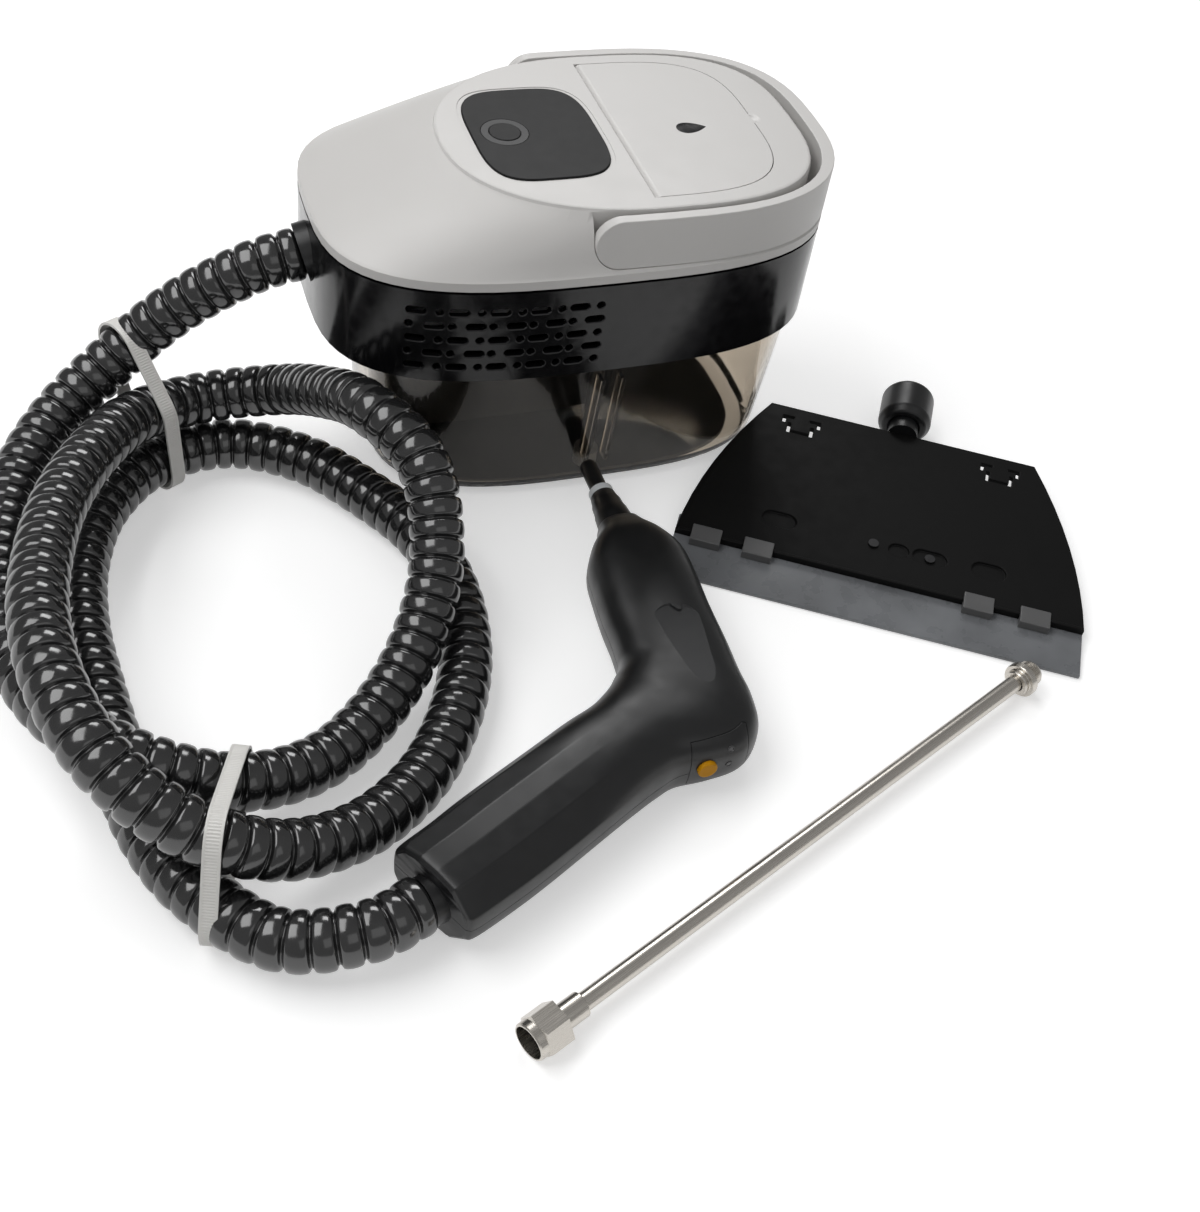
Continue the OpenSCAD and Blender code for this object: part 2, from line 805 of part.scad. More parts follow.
module steam_pipe() {
    rise_x = boiler_x - port_x;
    inner_end = hose_exit - gland_dir * gland_l;
    turn = inner_end - gland_dir * 10;
    color(brass)
        difference() {
            pipe([[rise_x, 0, boiler_z], [rise_x, 0, turn[2]], turn, inner_end], pipe_d);
            translate([0, 0, boiler_z]) along_x(rise_x - pipe_d, rise_x + pipe_d, boiler_d);
        }
}

// Control board under the panel

board_screw_d = 2.5;
switch_h = 3.5;

module control_board() {
    color([0.1, 0.35, 0.2]) {
        difference() {
            translate([panel_x - board_l / 2, -board_w / 2, board_z]) cube([board_l, board_w, board_t]);
            for (sx = [-1, 1], sy = [-1, 1])
                translate([panel_x + sx * post_at[0], sy * post_at[1], board_z - 1])
                    cylinder(d = board_screw_d + 0.4, h = board_t + 2);
        }
        translate([button_x - 3, button_y - 3, board_z + board_t]) cube([6, 6, switch_h]);
        translate([panel_x, -22, board_z - 9]) cube([16, 12, 9]);
        translate([panel_x - 6, 14, board_z - 12]) cylinder(d = 10, h = 12);
    }
}

module board_screws() {
    color(steel)
        for (sx = [-1, 1], sy = [-1, 1])
            translate([panel_x + sx * post_at[0], sy * post_at[1], board_z])
                rotate([180, 0, 0]) screw(board_screw_d, 4.8, board_t + 6, 1.6);
}

// Hose gland, cord inlet, hose and ties

cord_x = 70;
cord_z = z_band + 20;
cord_bush_d = 12;

module gland_place() {
    translate(hose_exit) rotate([0, -90 - gland_tilt, 0]) children();
}

module hose_gland() {
    boss_l = 14;
    color(black)
        difference() {
            union() {
                difference() {
                    gland_place() translate([0, 0, -boss_l]) cylinder(r = gland_r, h = boss_l);
                    slab(body_outline(), z_band, z_rim);
                }
                gland_place() translate([0, 0, -gland_l]) cylinder(r = gland_r - 3, h = gland_l - 1);
            }
            gland_place() translate([0, 0, -gland_l - 1]) cylinder(d = pipe_d, h = gland_l + 2);
        }
}

module cord_inlet() {
    y = body_w / 2 * pow(1 - pow(cord_x / (body_l / 2), body_power), 1 / body_power);
    color(black)
        difference() {
            union() {
                difference() {
                    translate([cord_x, 0, cord_z]) along_y(y - 5, y + 2.5, cord_bush_d + 6);
                    slab(body_outline(), z_band, z_rim);
                }
                translate([cord_x, 0, cord_z]) along_y(y - 14, y + 1, cord_bush_d);
            }
            translate([cord_x, 0, cord_z]) along_y(y - 15, y + 3, 7);
        }
}

function spline(a, b, c, d, t) =
    0.5 * (2 * b + (c - a) * t + (2 * a - 5 * b + 4 * c - d) * t * t + (3 * b - a - 3 * c + d) * t * t * t);
spline_steps = 10;
last = len(route) - 1;
ends = concat([2 * route[0] - route[1]], route, [2 * route[last] - route[last - 1]]);
curve = concat([for (i = [0:last - 1], k = [0:spline_steps - 1])
                   spline(ends[i], ends[i + 1], ends[i + 2], ends[i + 3], k / spline_steps)],
               [route[last]]);
function run_lengths(points, i = 0, total = 0, list = []) =
    i == len(points) ? list
    : let (sum = i == 0 ? 0 : total + norm(points[i] - points[i - 1]))
      run_lengths(points, i + 1, sum, concat(list, [sum]));
travel = run_lengths(curve);
hose_length = travel[len(travel) - 1];
tables = [for (axis = [0:2]) [for (i = [0:len(curve) - 1]) [travel[i], curve[i][axis]]]];
function hose_point(s) = [for (axis = [0:2]) lookup(s, tables[axis])];
function unit(v) = v / norm(v);
function hose_ring(s, r) =
    let (step = 2, way = unit(hose_point(min(s + step, hose_length)) - hose_point(max(s - step, 0))),
         side = unit(cross([0, 0, 1], way)), up = cross(way, side), p = hose_point(s))
    [for (k = [0:hose_sides - 1])
        let (t = 360 * (k + 0.5) / hose_sides) p + r * (cos(t) * side + sin(t) * up)];
hose_sides = 8;
hose_trim = 0.3;
bore_rings = 90;

// Least distance between strands that lie apart along the hose, less its diameter
probe = 14;
probes = [for (s = [0:probe:hose_length]) hose_point(s)];
hose_gap = min([for (i = [0:len(probes) - 1], j = [i + 7:1:len(probes) - 1]) norm(probes[i] - probes[j])])
           - hose_od;

module hose() {
    echo(hose_length = hose_length, hose_gap = hose_gap);
    run = hose_length - 2 * hose_trim;
    pitch = run / rib_count;
    outer = [for (k = [0:rib_count - 1])
        each [hose_ring(hose_trim + k * pitch, hose_groove_d / 2),
              hose_ring(hose_trim + (k + 0.5) * pitch, hose_od / 2)]];
    closed_outer = concat(outer, [hose_ring(hose_trim + run, hose_groove_d / 2)]);
    bore = [for (k = [bore_rings:-1:0]) hose_ring(hose_trim + run * k / bore_rings, hose_bore_d / 2)];
    tube(concat(closed_outer, bore));
}

// A skin through rings that runs out along the outside and back through the bore
module tube(rings) {
    n = len(rings[0]);
    count = len(rings);
    points = [for (r = rings) each r];
    faces = [for (k = [0:count - 1], i = [0:n - 1])
        let (a = k * n, b = ((k + 1) % count) * n, j = (i + 1) % n)
        each [[a + i, b + i, a + j], [a + j, b + i, b + j]]];
    color(black) polyhedron(points, faces);
}

module tie(at, turn, strands) {
    inner_r = hose_od / 2 + tie_slack;
    color(grey)
        translate(at) rotate([0, 0, turn]) rotate([90, 0, 90])
            translate([0, 0, -tie_w / 2])
                linear_extrude(tie_w)
                    difference() {
                        hull() for (p = strands) translate(p) circle(r = inner_r + tie_t);
                        hull() for (p = strands) translate(p) circle(r = inner_r);
                    }
}

module upper_tie() { tie(upper_tie_at, upper_tie_turn, upper_strands); }
module lower_tie() { tie(lower_tie_at, lower_tie_turn, lower_strands); }

// Gun: two half shells of one bent loft, lying on its side.
// Each ring: its middle, its turn in plan, its width over the barrel's or the grip's, its height over gun_t
barrel_rings = [
    [3.5, -131, 0, 0.42, 0.55], [3, -138, 0, 0.5, 0.72], [2.5, -148, 1, 0.74, 0.89],
    [2.5, -161, 0, 0.94, 0.96], [1.5, -179, -2, 0.98, 1], [0, -200, -9, 0.99, 1],
    [-0.5, -220, -17, 1.02, 1], [-1.5, -236, -27, 1.09, 1],
    [-2, -247, -35, 1.2, 1], [-5, -257.5, -43, 1.31, 1], [-12.5, -265.5, -50, 1.31, 0.98],
    [-23, -269.5, -57, 1.15, 0.98]
];
grip_rings = [
    [-35, -272.5, -63.5, 1.04, 0.98], [-46, -278, -64.5, 0.98, 0.98], [-64, -286.5, -61.5, 0.99, 1],
    [-113, -312, -60.5, 1.01, 1], [-136, -324, -61, 0.98, 1], [-153, -332, -62.5, 0.95, 0.96],
    [-156.5, -333.5, -62.5, 0.86, 0.83]
];
gun_sides = 24;

function gun_ring(row, width, inset, end = 0) =
    let (across = [cos(row[2]), sin(row[2])], ahead = [-across[1], across[0]] * inset * end)
    [for (p = oval(row[3] * width / 2 - inset, row[4] * gun_t / 2 - inset, gun_power, 0, gun_sides))
        [row[0] + ahead[0] + across[0] * p[0], row[1] + ahead[1] + across[1] * p[0], gun_z + p[1]]];

module gun_form(inset) {
    last_ring = len(grip_rings) - 1;
    barrel = [for (k = [0:len(barrel_rings) - 1])
        gun_ring(barrel_rings[k], barrel_w, inset, k == 0 ? -1 : 0)];
    grip = [for (k = [0:last_ring]) gun_ring(grip_rings[k], grip_w, inset, k == last_ring ? 1 : 0)];
    loft(concat(barrel, grip));
}

module cap_block() {
    translate([cap_x[0], gun_back - 1, cap_z[0]])
        cube([cap_x[1] - cap_x[0], cap_depth + 1, cap_z[1] - cap_z[0]]);
}

module gun_shell(upper) {
    color(black)
        intersection() {
            difference() {
                gun_form(0);
                gun_form(gun_wall);
                cap_block();
                nozzle_place() cylinder(d = nozzle_base_d, h = 60, center = true);
                cuff_place() cylinder(d = hose_od - 4, h = 60, center = true);
            }
            translate([-big, -2 * big, upper ? gun_z : gun_z - big]) cube([2 * big, 2 * big, big]);
        }
}

module gun_shell_upper() { gun_shell(true); }
module gun_shell_lower() { gun_shell(false); }

module gun_end_cap() {
    color(black)
        difference() {
            union() {
                difference() {
                    intersection() { gun_form(0); cap_block(); }
                    gun_form(gun_wall + 0.5);
                }
                translate([trigger_x, 0, trigger_z])
                    along_y(gun_back + 2, trigger_flange_y - fit, trigger_d + 5);
            }
            translate([trigger_x, 0, trigger_z])
                along_y(gun_back - 1, gun_back + 20, trigger_d + 2 * pin_fit);
            for (l = lenses) translate([lens_x, 0, l[0]]) along_y(gun_back - 1, gun_back + 20, lens_d);
        }
}

trigger_flange_y = gun_back + gun_wall + 3.2;
trigger_flange_t = 2;

module steam_button() {
    color([0.8, 0.55, 0.08])
        translate([trigger_x, 0, trigger_z]) {
            along_y(gun_back - 2, trigger_flange_y + eps, trigger_d);
            along_y(trigger_flange_y, trigger_flange_y + trigger_flange_t, trigger_d + 3);
        }
}

module indicator_lenses() {
    color(grey)
        for (l = lenses)
            translate([lens_x, 0, l[0]])
                along_y(gun_back + l[1] - 0.6, gun_back + l[1] + gun_wall, lens_d);
}

nozzle_base_d = 21;

module nozzle_place() {
    translate([gun_x, gun_front, gun_z]) rotate([-90, 0, 0]) children();
}

tip_l = 22;
collar_run = 24;
nozzle_ring_l = 4;

module gun_nozzle() {
    collar_r = 10;
    rib = 4;
    color(black)
        nozzle_place()
            rotate_extrude()
                difference() {
                    union() {
                        translate([0, -6]) square([nozzle_base_d / 2, 9]);
                        for (k = [0:4])
                            translate([0, 3 + k * rib])
                                polygon([[0, 0], [collar_r + 1 - k * 0.4, 0],
                                         [collar_r - k * 0.5, rib], [0, rib]]);
                        square([tip_d / 2, collar_run + nozzle_ring_l + tip_l]);
                    }
                    translate([-1, -7]) square([3, 100]);
                }
}

module nozzle_ring() {
    color(grey)
        nozzle_place()
            translate([0, 0, 23])
                difference() {
                    cylinder(d = tip_d + 4, h = nozzle_ring_l);
                    translate([0, 0, -1]) cylinder(d = tip_d, h = nozzle_ring_l + 2);
                }
}

module cuff_place() {
    translate(hose_finish) rotate([0, 90, hose_end_angle]) children();
}

module hose_cuff() {
    color(black)
        cuff_place()
            difference() {
                cylinder(d = hose_od - 4, h = cuff_l);
                translate([0, 0, -1]) cylinder(d = pipe_d - 2, h = cuff_l + 2);
            }
}

// Steam line of three straight tubes between two valve bodies
module gun_steam_tube() {
    valve_d = 14;
    tube_d = pipe_d - 2;
    start = hose_finish + finish_dir * cuff_l;
    inlet = start + finish_dir * valve_d;
    outlet = [gun_x, valve_y, gun_z];
    run = outlet - inlet;
    color(steel) {
        for (p = [inlet, outlet]) translate(p) cylinder(d = valve_d, h = valve_d, center = true);
        translate(start) rotate([0, 90, hose_end_angle]) cylinder(d = tube_d, h = valve_d);
        translate(inlet) rotate([0, 90, atan2(run[1], run[0])]) cylinder(d = tube_d, h = norm(run));
        translate([gun_x, 0, gun_z]) along_y(outlet[1], gun_front - 6, tube_d);
    }
}

module gun_switch() {
    y = trigger_flange_y + trigger_flange_t + trigger_travel + fit;
    foot_z = gun_z - 15.3;
    foot_h = 1.3;
    color(grey) {
        translate([trigger_x - 5, y, foot_z + foot_h]) cube([12, 9, trigger_z - foot_z - foot_h + 4]);
        translate([trigger_x - 1, y + 3, foot_z]) cube([8, 6, foot_h + 1]);
    }
}

// Wand

module wand_place() {
    translate([wand_start[0], wand_start[1], wand_z]) rotate([0, 90, wand_angle]) children();
}

module wand_tube() {
    color(steel)
        wand_place()
            translate([0, 0, nut_depth + 3])
                difference() {
                    cylinder(d = wand_d, h = wand_l - nut_depth - 3 - 4);
                    translate([0, 0, -1]) cylinder(d = wand_d - 3, h = wand_l);
                }
}

module wand_ferrule() {
    color(steel)
        wand_place()
            difference() {
                union() {
                    translate([0, 0, nut_depth]) cylinder(d = nut_bore_d - 2, h = 3);
                    translate([0, 0, nut_depth + 3]) cylinder(d = wand_d + 3.4, h = ferrule_l);
                }
                translate([0, 0, nut_depth - 1]) cylinder(d = wand_d - 3, h = 5);
                translate([0, 0, nut_depth + 3]) cylinder(d = wand_d, h = ferrule_l + 2);
            }
}

module wand_nut() {
    color(steel)
        wand_place()
            difference() {
                rotate([0, 0, 30]) cylinder(d = nut_af / cos(30), h = nut_l, $fn = 6);
                translate([0, 0, -1]) cylinder(d = nut_bore_d, h = nut_depth - nut_relief);
                translate([0, 0, nut_depth - 1 - nut_relief]) cylinder(d = nut_bore_d + 1, h = nut_relief);
                cylinder(d = nut_bore_d - 2 + 2 * fit, h = nut_depth + 3 + fit);
                cylinder(d = wand_d + 3.4 + 2 * pin_fit, h = nut_l + 1);
            }
}

module wand_seal() {
    color(black)
        wand_place()
            translate([0, 0, nut_depth - wand_seal_t])
                difference() {
                    cylinder(d = nut_bore_d - 2, h = wand_seal_t);
                    translate([0, 0, -1]) cylinder(d = wand_d - 3, h = 4);
                }
}

module wand_fitting() {
    color(steel)
        wand_place()
            translate([0, 0, wand_l - fitting_l])
                difference() {
                    union() {
                        cylinder(d = wand_d + 5, h = fitting_l - 8);
                        translate([0, 0, 3]) cylinder(d = nut_af, h = 4);
                        translate([0, 0, 7]) cylinder(d = 14, h = fitting_l - 7);
                    }
                    translate([0, 0, -1]) cylinder(d = wand_d, h = fitting_l - 3);
                    translate([0, 0, -1]) cylinder(d = wand_d - 3, h = fitting_l + 2);
                }
}

// Squeegee head

module head_place() {
    translate([head_at[0], head_at[1], head_z]) rotate([0, 0, head_yaw]) rotate([head_tilt, 0, 0]) children();
}

function head_half(v) =
    let (x = v - head_edge_v) head_l / 2 - 0.0687 * x - 0.00183 * x * x;

module head_outline() {
    steps = 8;
    far = head_depth + head_edge_v;
    side = [for (k = [0:steps]) let (v = head_edge_v + (far - head_edge_v) * k / steps) [head_half(v), v]];
    polygon(concat(side, [for (k = [steps:-1:0]) [-side[k][0], side[k][1]]]));
}

module obround(l, w) {
    square([l - w, w], center = true);
    for (s = [-1, 1]) translate([s * (l - w) / 2, 0]) circle(d = w);
}

// Slots round a snap tab, open at the corners
module clip_slot() {
    w = 2;
    for (s = [-1, 1]) {
        translate([s * 8.2, 5.5]) square([7, w], center = true);
        translate([s * 10.7, 3.5]) square([w, 6], center = true);
        translate([s * 7, -3]) square([w, 7], center = true);
    }
    translate([0, -6.5]) square([14 + w, w], center = true);
}

module head_plate() {
    far = head_depth + head_edge_v;
    tab_u = 61;
    recess_u = 61;
    recess_v = 21;
    dip = 1.5;
    color(black)
        head_place()
            difference() {
                union() {
                    linear_extrude(head_t) head_outline();
                    translate([2 - head_l / 2, head_edge_v, head_t - eps]) cube([head_l - 4, rail_w, rail_h]);
                }
                for (x = clip_at)
                    translate([x - clip_l / 2 - fit, head_edge_v - 1, head_t])
                        cube([clip_l + 2 * fit, rail_w + 2, rail_h + 1]);
                for (s = [-1, 1]) {
                    translate([s * tab_u, far - 14.5, -1]) linear_extrude(head_t + 2) clip_slot();
                    translate([s * recess_u, recess_v, head_t - dip]) linear_extrude(dip + 1) obround(20, 12);
                }
                translate([head_screw_at[1], head_screw_v, head_t - dip])
                    linear_extrude(dip + 1) obround(20, 11);
                translate([9, head_screw_v, head_t - dip]) linear_extrude(dip + 1) obround(12, 10);
                for (x = head_screw_at) translate([x, head_screw_v, -1]) cylinder(d = screw_d, h = head_t + 2);
            }
}

head_screw_at = [-6, 27];
head_screw_v = 20;

module head_screws() {
    color(steel)
        head_place() {
            translate([head_screw_at[0], head_screw_v, head_t]) screw(screw_d, 6, head_t, 1.2);
            translate([head_screw_at[1], head_screw_v, head_t - 1.5]) screw(screw_d, 6, head_t - 1.5, 1.2);
        }
}

module head_blade() {
    color([0.2, 0.2, 0.21])
        head_place()
            translate([-head_l / 2, head_edge_v - blade_w + 3, -blade_t])
                cube([head_l, blade_w + 13, blade_t]);
}

module head_clips() {
    color(black)
        head_place()
            for (x = clip_at)
                translate([x - clip_l / 2, head_edge_v - 6, 0]) {
                    cube([clip_l, 6, head_t]);
                    translate([0, 0, head_t]) cube([clip_l, 12, 2]);
                }
}

module head_neck() {
    far = head_depth + head_edge_v;
    color(black)
        head_place()
            difference() {
                union() {
                    translate([0, 0, head_t / 2])
                        along_y(far + pin_fit, far + neck_l + collar_l - 4 - fit, neck_post_d);
                    translate([-neck_post_d / 2, far - neck_root, -neck_tongue])
                        cube([neck_post_d, neck_root + neck_l - 1, neck_tongue]);
                }
                translate([0, 0, head_t / 2]) along_y(far + 3, far + neck_l + collar_l, tip_d + 2);
            }
}

module head_collar() {
    far = head_depth + head_edge_v;
    color(black)
        head_place()
            translate([0, far + neck_l, head_t / 2]) rotate([-90, 0, 0])
                difference() {
                    rotate_extrude()
                        polygon([[0, 0], [collar_d / 2 - 3, 0], [collar_d / 2, 4],
                                 [collar_d / 2, collar_l - 5], [collar_d / 2 - 4, collar_l], [0, collar_l]]);
                    translate([0, 0, -1]) cylinder(d = neck_post_d + 2 * pin_fit, h = collar_l - 3);
                    cylinder(d = tip_d + 0.4, h = collar_l + 1);
                }
}

tank();
tank_gasket();
base_pad();
mid_housing();
boiler_well();
well_screws();
top_cover();
control_panel();
button_ring();
power_button();
filler_lid();
lid_hinge_pin();
lid_seal();
filler_neck();
carry_handle();
handle_washers();
boiler();
boiler_saddles();
heater_element();
thermostat();
safety_valve();
water_pump();
suction_tube();
suction_filter();
feed_tube();
steam_pipe();
control_board();
board_screws();
hose_gland();
cord_inlet();
hose();
upper_tie();
lower_tie();
gun_shell_upper();
gun_shell_lower();
gun_end_cap();
steam_button();
indicator_lenses();
gun_nozzle();
nozzle_ring();
gun_steam_tube();
gun_switch();
hose_cuff();
wand_tube();
wand_ferrule();
wand_nut();
wand_fitting();
wand_seal();
head_plate();
head_blade();
head_clips();
head_neck();
head_collar();
head_screws();
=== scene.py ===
"""Looks of the steam cleaner: canister, ribbed hose, steam gun, wand and squeegee head."""
import json
import math

import bmesh
import bpy
import numpy as np
from mathutils import Matrix, Vector
from mathutils.bvhtree import BVHTree


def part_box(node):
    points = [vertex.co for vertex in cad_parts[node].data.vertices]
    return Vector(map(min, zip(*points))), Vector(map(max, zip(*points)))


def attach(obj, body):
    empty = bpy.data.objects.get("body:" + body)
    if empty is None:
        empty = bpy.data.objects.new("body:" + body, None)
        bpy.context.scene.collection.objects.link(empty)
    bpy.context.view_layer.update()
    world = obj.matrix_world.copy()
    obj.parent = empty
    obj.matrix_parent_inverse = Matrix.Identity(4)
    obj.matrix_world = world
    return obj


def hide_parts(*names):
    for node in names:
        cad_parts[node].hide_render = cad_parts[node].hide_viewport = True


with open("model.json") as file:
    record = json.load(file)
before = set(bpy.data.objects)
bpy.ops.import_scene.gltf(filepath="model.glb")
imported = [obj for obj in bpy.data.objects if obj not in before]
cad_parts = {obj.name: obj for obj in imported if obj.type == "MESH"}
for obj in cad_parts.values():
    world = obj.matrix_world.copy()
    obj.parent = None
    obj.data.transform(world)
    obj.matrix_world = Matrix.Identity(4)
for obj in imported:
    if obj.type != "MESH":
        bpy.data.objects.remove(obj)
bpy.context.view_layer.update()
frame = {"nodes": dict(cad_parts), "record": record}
NODES = frame["nodes"]
MM = 0.001
scene = bpy.context.scene
scene.view_settings.view_transform = "Standard"

# Camera at the photograph's viewing angle

VIEW_AZIMUTH = math.radians(-26.355)
VIEW_ELEVATION = math.radians(46.083)
VIEW_ROLL = math.radians(10.256)
VIEW_DISTANCE = 928.25 * MM
VIEW_TARGET = Vector((0.205, -132.125, -36.966)) * MM
FOCAL_PIXELS = 1621.05
PHOTO_HEIGHT = 1212
SENSOR = 36.0


def make_camera():
    back = Vector((math.sin(VIEW_AZIMUTH) * math.cos(VIEW_ELEVATION),
                   -math.cos(VIEW_AZIMUTH) * math.cos(VIEW_ELEVATION),
                   math.sin(VIEW_ELEVATION)))
    level = (-back).cross(Vector((0, 0, 1))).normalized()
    rise = level.cross(-back)
    right = level * math.cos(VIEW_ROLL) + rise * math.sin(VIEW_ROLL)
    up = rise * math.cos(VIEW_ROLL) - level * math.sin(VIEW_ROLL)
    data = bpy.data.cameras.new("camera")
    data.sensor_width = SENSOR
    data.lens = FOCAL_PIXELS * SENSOR / PHOTO_HEIGHT
    data.clip_start = 0.01
    camera = bpy.data.objects.new("camera", data)
    scene.collection.objects.link(camera)
    turn = Matrix((right, up, back)).transposed().to_4x4()
    camera.matrix_world = Matrix.Translation(VIEW_TARGET + back * VIEW_DISTANCE) @ turn
    scene.camera = camera


make_camera()


def link_mesh(name, vertices, faces):
    mesh = bpy.data.meshes.new(name)
    mesh.from_pydata([tuple(v) for v in vertices], [], faces)
    mesh.update()
    piece = bpy.data.objects.new(name, mesh)
    scene.collection.objects.link(piece)
    return piece


def copy_of(piece, name):
    other = bpy.data.objects.new(name, piece.data.copy())
    scene.collection.objects.link(other)
    return other


def smooth_all(piece):
    piece.data.polygons.foreach_set("use_smooth", [True] * len(piece.data.polygons))


# Hose along the same route as its solid

HOSE_D = 28 * MM
HOSE_GROOVE_D = 22.4 * MM
HOSE_BORE_D = 18 * MM
HOSE_RIBS = 200
HOSE_SIDES = 32
# Places of the rings over one rib, close together at the groove
RIB_PLACES = np.array((0, 0.035, 0.075, 0.12, 0.18, 0.28, 0.42, 0.58, 0.72, 0.82, 0.88, 0.925, 0.965))
RIB_EDGE = 0.085
RIB_CROWN = 0.32
BORE_RINGS = 200
HOSE_STEPS = 24
HOSE_PATH_POINTS = 400
# How far before and after a point its direction is taken
WAY_STEP = 2 * MM
HOSE_EXIT = Vector((-143, 0, 128)) * MM
GLAND_TILT = math.radians(15)
GLAND_DIR = Vector((-math.cos(GLAND_TILT), 0, -math.sin(GLAND_TILT)))
GUN_Z = 22.5 * MM
HOSE_END_ANGLE = math.radians(16.7)
FINISH_DIR = Vector((math.cos(HOSE_END_ANGLE), math.sin(HOSE_END_ANGLE), 0))
GRIP_END = Vector((-156 * MM, -335 * MM, GUN_Z))
CUFF_OUT = 4 * MM
HOSE_FINISH = GRIP_END - FINISH_DIR * CUFF_OUT
LOOPS_MM = [
    (-207, 3, 99), (-241, -1, 74), (-275, -20, 55), (-299, -54, 46), (-311, -95, 45),
    (-315, -138, 45), (-311, -181, 47), (-295, -221, 48), (-264, -249, 43), (-225, -257, 28),
    (-185, -246, 18), (-150, -222, 23), (-123, -191, 38), (-108, -158, 60), (-108, -123, 85),
    (-127, -86, 92), (-142, -50, 75), (-161, -19, 54), (-200, -9, 46), (-237, -28, 54),
    (-262, -62, 63), (-281, -100, 69), (-293, -141, 74), (-299, -184, 78), (-296, -227, 78),
    (-282, -266, 70), (-253, -293, 52), (-216, -301, 33), (-177, -290, 20), (-142, -265, 15),
    (-116, -231, 15), (-100, -192, 15), (-95, -149, 16), (-102, -107, 16), (-122, -69, 15),
    (-150, -35, 16), (-188, -16, 17), (-229, -24, 18), (-260, -54, 17), (-276, -94, 16),
    (-281, -136, 15), (-279, -179, 15), (-275, -222, 15), (-268, -265, 15), (-253, -302, 17),
    (-224, -336, 19),
]


def hose_route():
    loops = [Vector(p) * MM for p in LOOPS_MM]
    return ([HOSE_EXIT, HOSE_EXIT + GLAND_DIR * HOSE_D] + loops
            + [HOSE_FINISH - FINISH_DIR * HOSE_D, HOSE_FINISH])


def spline_through(points, steps):
    """Catmull-Rom curve through the points, as an array."""
    p = np.array([tuple(v) for v in points])
    p = np.vstack([2 * p[0] - p[1], p, 2 * p[-1] - p[-2]])
    t = (np.arange(steps) / steps)[:, None]
    runs = []
    for a, b, c, d in zip(p[:-3], p[1:-2], p[2:-1], p[3:]):
        runs.append(0.5 * (2 * b + (c - a) * t + (2 * a - 5 * b + 4 * c - d) * t ** 2
                           + (3 * b - a - 3 * c + d) * t ** 3))
    return np.vstack(runs + [p[-2][None]])


def travelled(path):
    """Length from the path's start to each of its points."""
    return np.concatenate([[0], np.cumsum(np.linalg.norm(np.diff(path, axis=0), axis=1))])


def points_at(path, places):
    """Points at the given lengths along a path."""
    travel = travelled(path)
    return np.stack([np.interp(places, travel, column) for column in path.T], 1)


def along(curve, places):
    """Points and directions at the given lengths along a curve."""
    way = points_at(curve, places + WAY_STEP) - points_at(curve, places - WAY_STEP)
    return points_at(curve, places), way / np.linalg.norm(way, axis=1)[:, None]


def rib_radius(u):
    """Radius over one rib, u from 0 to 1: a crowned ridge between narrow grooves."""
    edge = np.minimum(u, 1 - u) / RIB_EDGE
    ridge = (1 - np.exp(-edge * edge)) * (1 - RIB_CROWN * (1 - np.sin(math.pi * u)))
    return (HOSE_GROOVE_D + (HOSE_D - HOSE_GROOVE_D) * ridge) / 2


def make_hose():
    curve = spline_through(hose_route(), HOSE_STEPS)
    length = float(travelled(curve)[-1])
    ribs = np.arange(HOSE_RIBS)[:, None] + RIB_PLACES[None, :]
    outer_at = np.append(ribs.ravel(), HOSE_RIBS) * length / HOSE_RIBS
    bore_at = np.linspace(length, 0, BORE_RINGS)
    places = np.concatenate([outer_at, bore_at])
    share = np.append(np.tile(RIB_PLACES, HOSE_RIBS), 0)
    radius = np.concatenate([rib_radius(share), np.full(BORE_RINGS, HOSE_BORE_D / 2)])
    at, way = along(curve, places)
    side = np.cross([0, 0, 1], way)
    side /= np.linalg.norm(side, axis=1)[:, None]
    up = np.cross(way, side)
    angle = np.arange(HOSE_SIDES) * 2 * math.pi / HOSE_SIDES
    ring = np.cos(angle)[None, :, None] * side[:, None, :] + np.sin(angle)[None, :, None] * up[:, None, :]
    vertices = (at[:, None, :] + radius[:, None, None] * ring).reshape(-1, 3)
    rings = len(places)
    faces = []
    for k in range(rings):
        low, high = k * HOSE_SIDES, (k + 1) % rings * HOSE_SIDES
        for i in range(HOSE_SIDES):
            j = (i + 1) % HOSE_SIDES
            faces.append((low + i, low + j, high + j, high + i))
    hose = link_mesh("hose_ribbed", vertices, faces)
    smooth_all(hose)
    return hose, length, points_at(curve, np.linspace(0, length, HOSE_PATH_POINTS))


hose, hose_length, hose_path = make_hose()
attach(hose, "unit")
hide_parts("hose")


# Materials

def new_material(name):
    material = bpy.data.materials.new(name)
    material.use_nodes = True
    return material, material.node_tree.nodes, material.node_tree.links


def noise(nodes, links, scale, detail=3.0, turn=0, stretch=None):
    """A noise texture in the part's own space, in features per metre, stretched along a heading or not."""
    place = nodes.new("ShaderNodeTexCoord")
    texture = nodes.new("ShaderNodeTexNoise")
    texture.inputs["Scale"].default_value = scale
    texture.inputs["Detail"].default_value = detail
    if stretch is None:
        links.new(place.outputs["Object"], texture.inputs["Vector"])
    else:
        heading = nodes.new("ShaderNodeMapping")
        heading.vector_type = "TEXTURE"
        heading.inputs["Rotation"].default_value = (0, 0, turn)
        heading.inputs["Scale"].default_value = stretch
        links.new(place.outputs["Object"], heading.inputs["Vector"])
        links.new(heading.outputs["Vector"], texture.inputs["Vector"])
    return texture.outputs["Fac"]


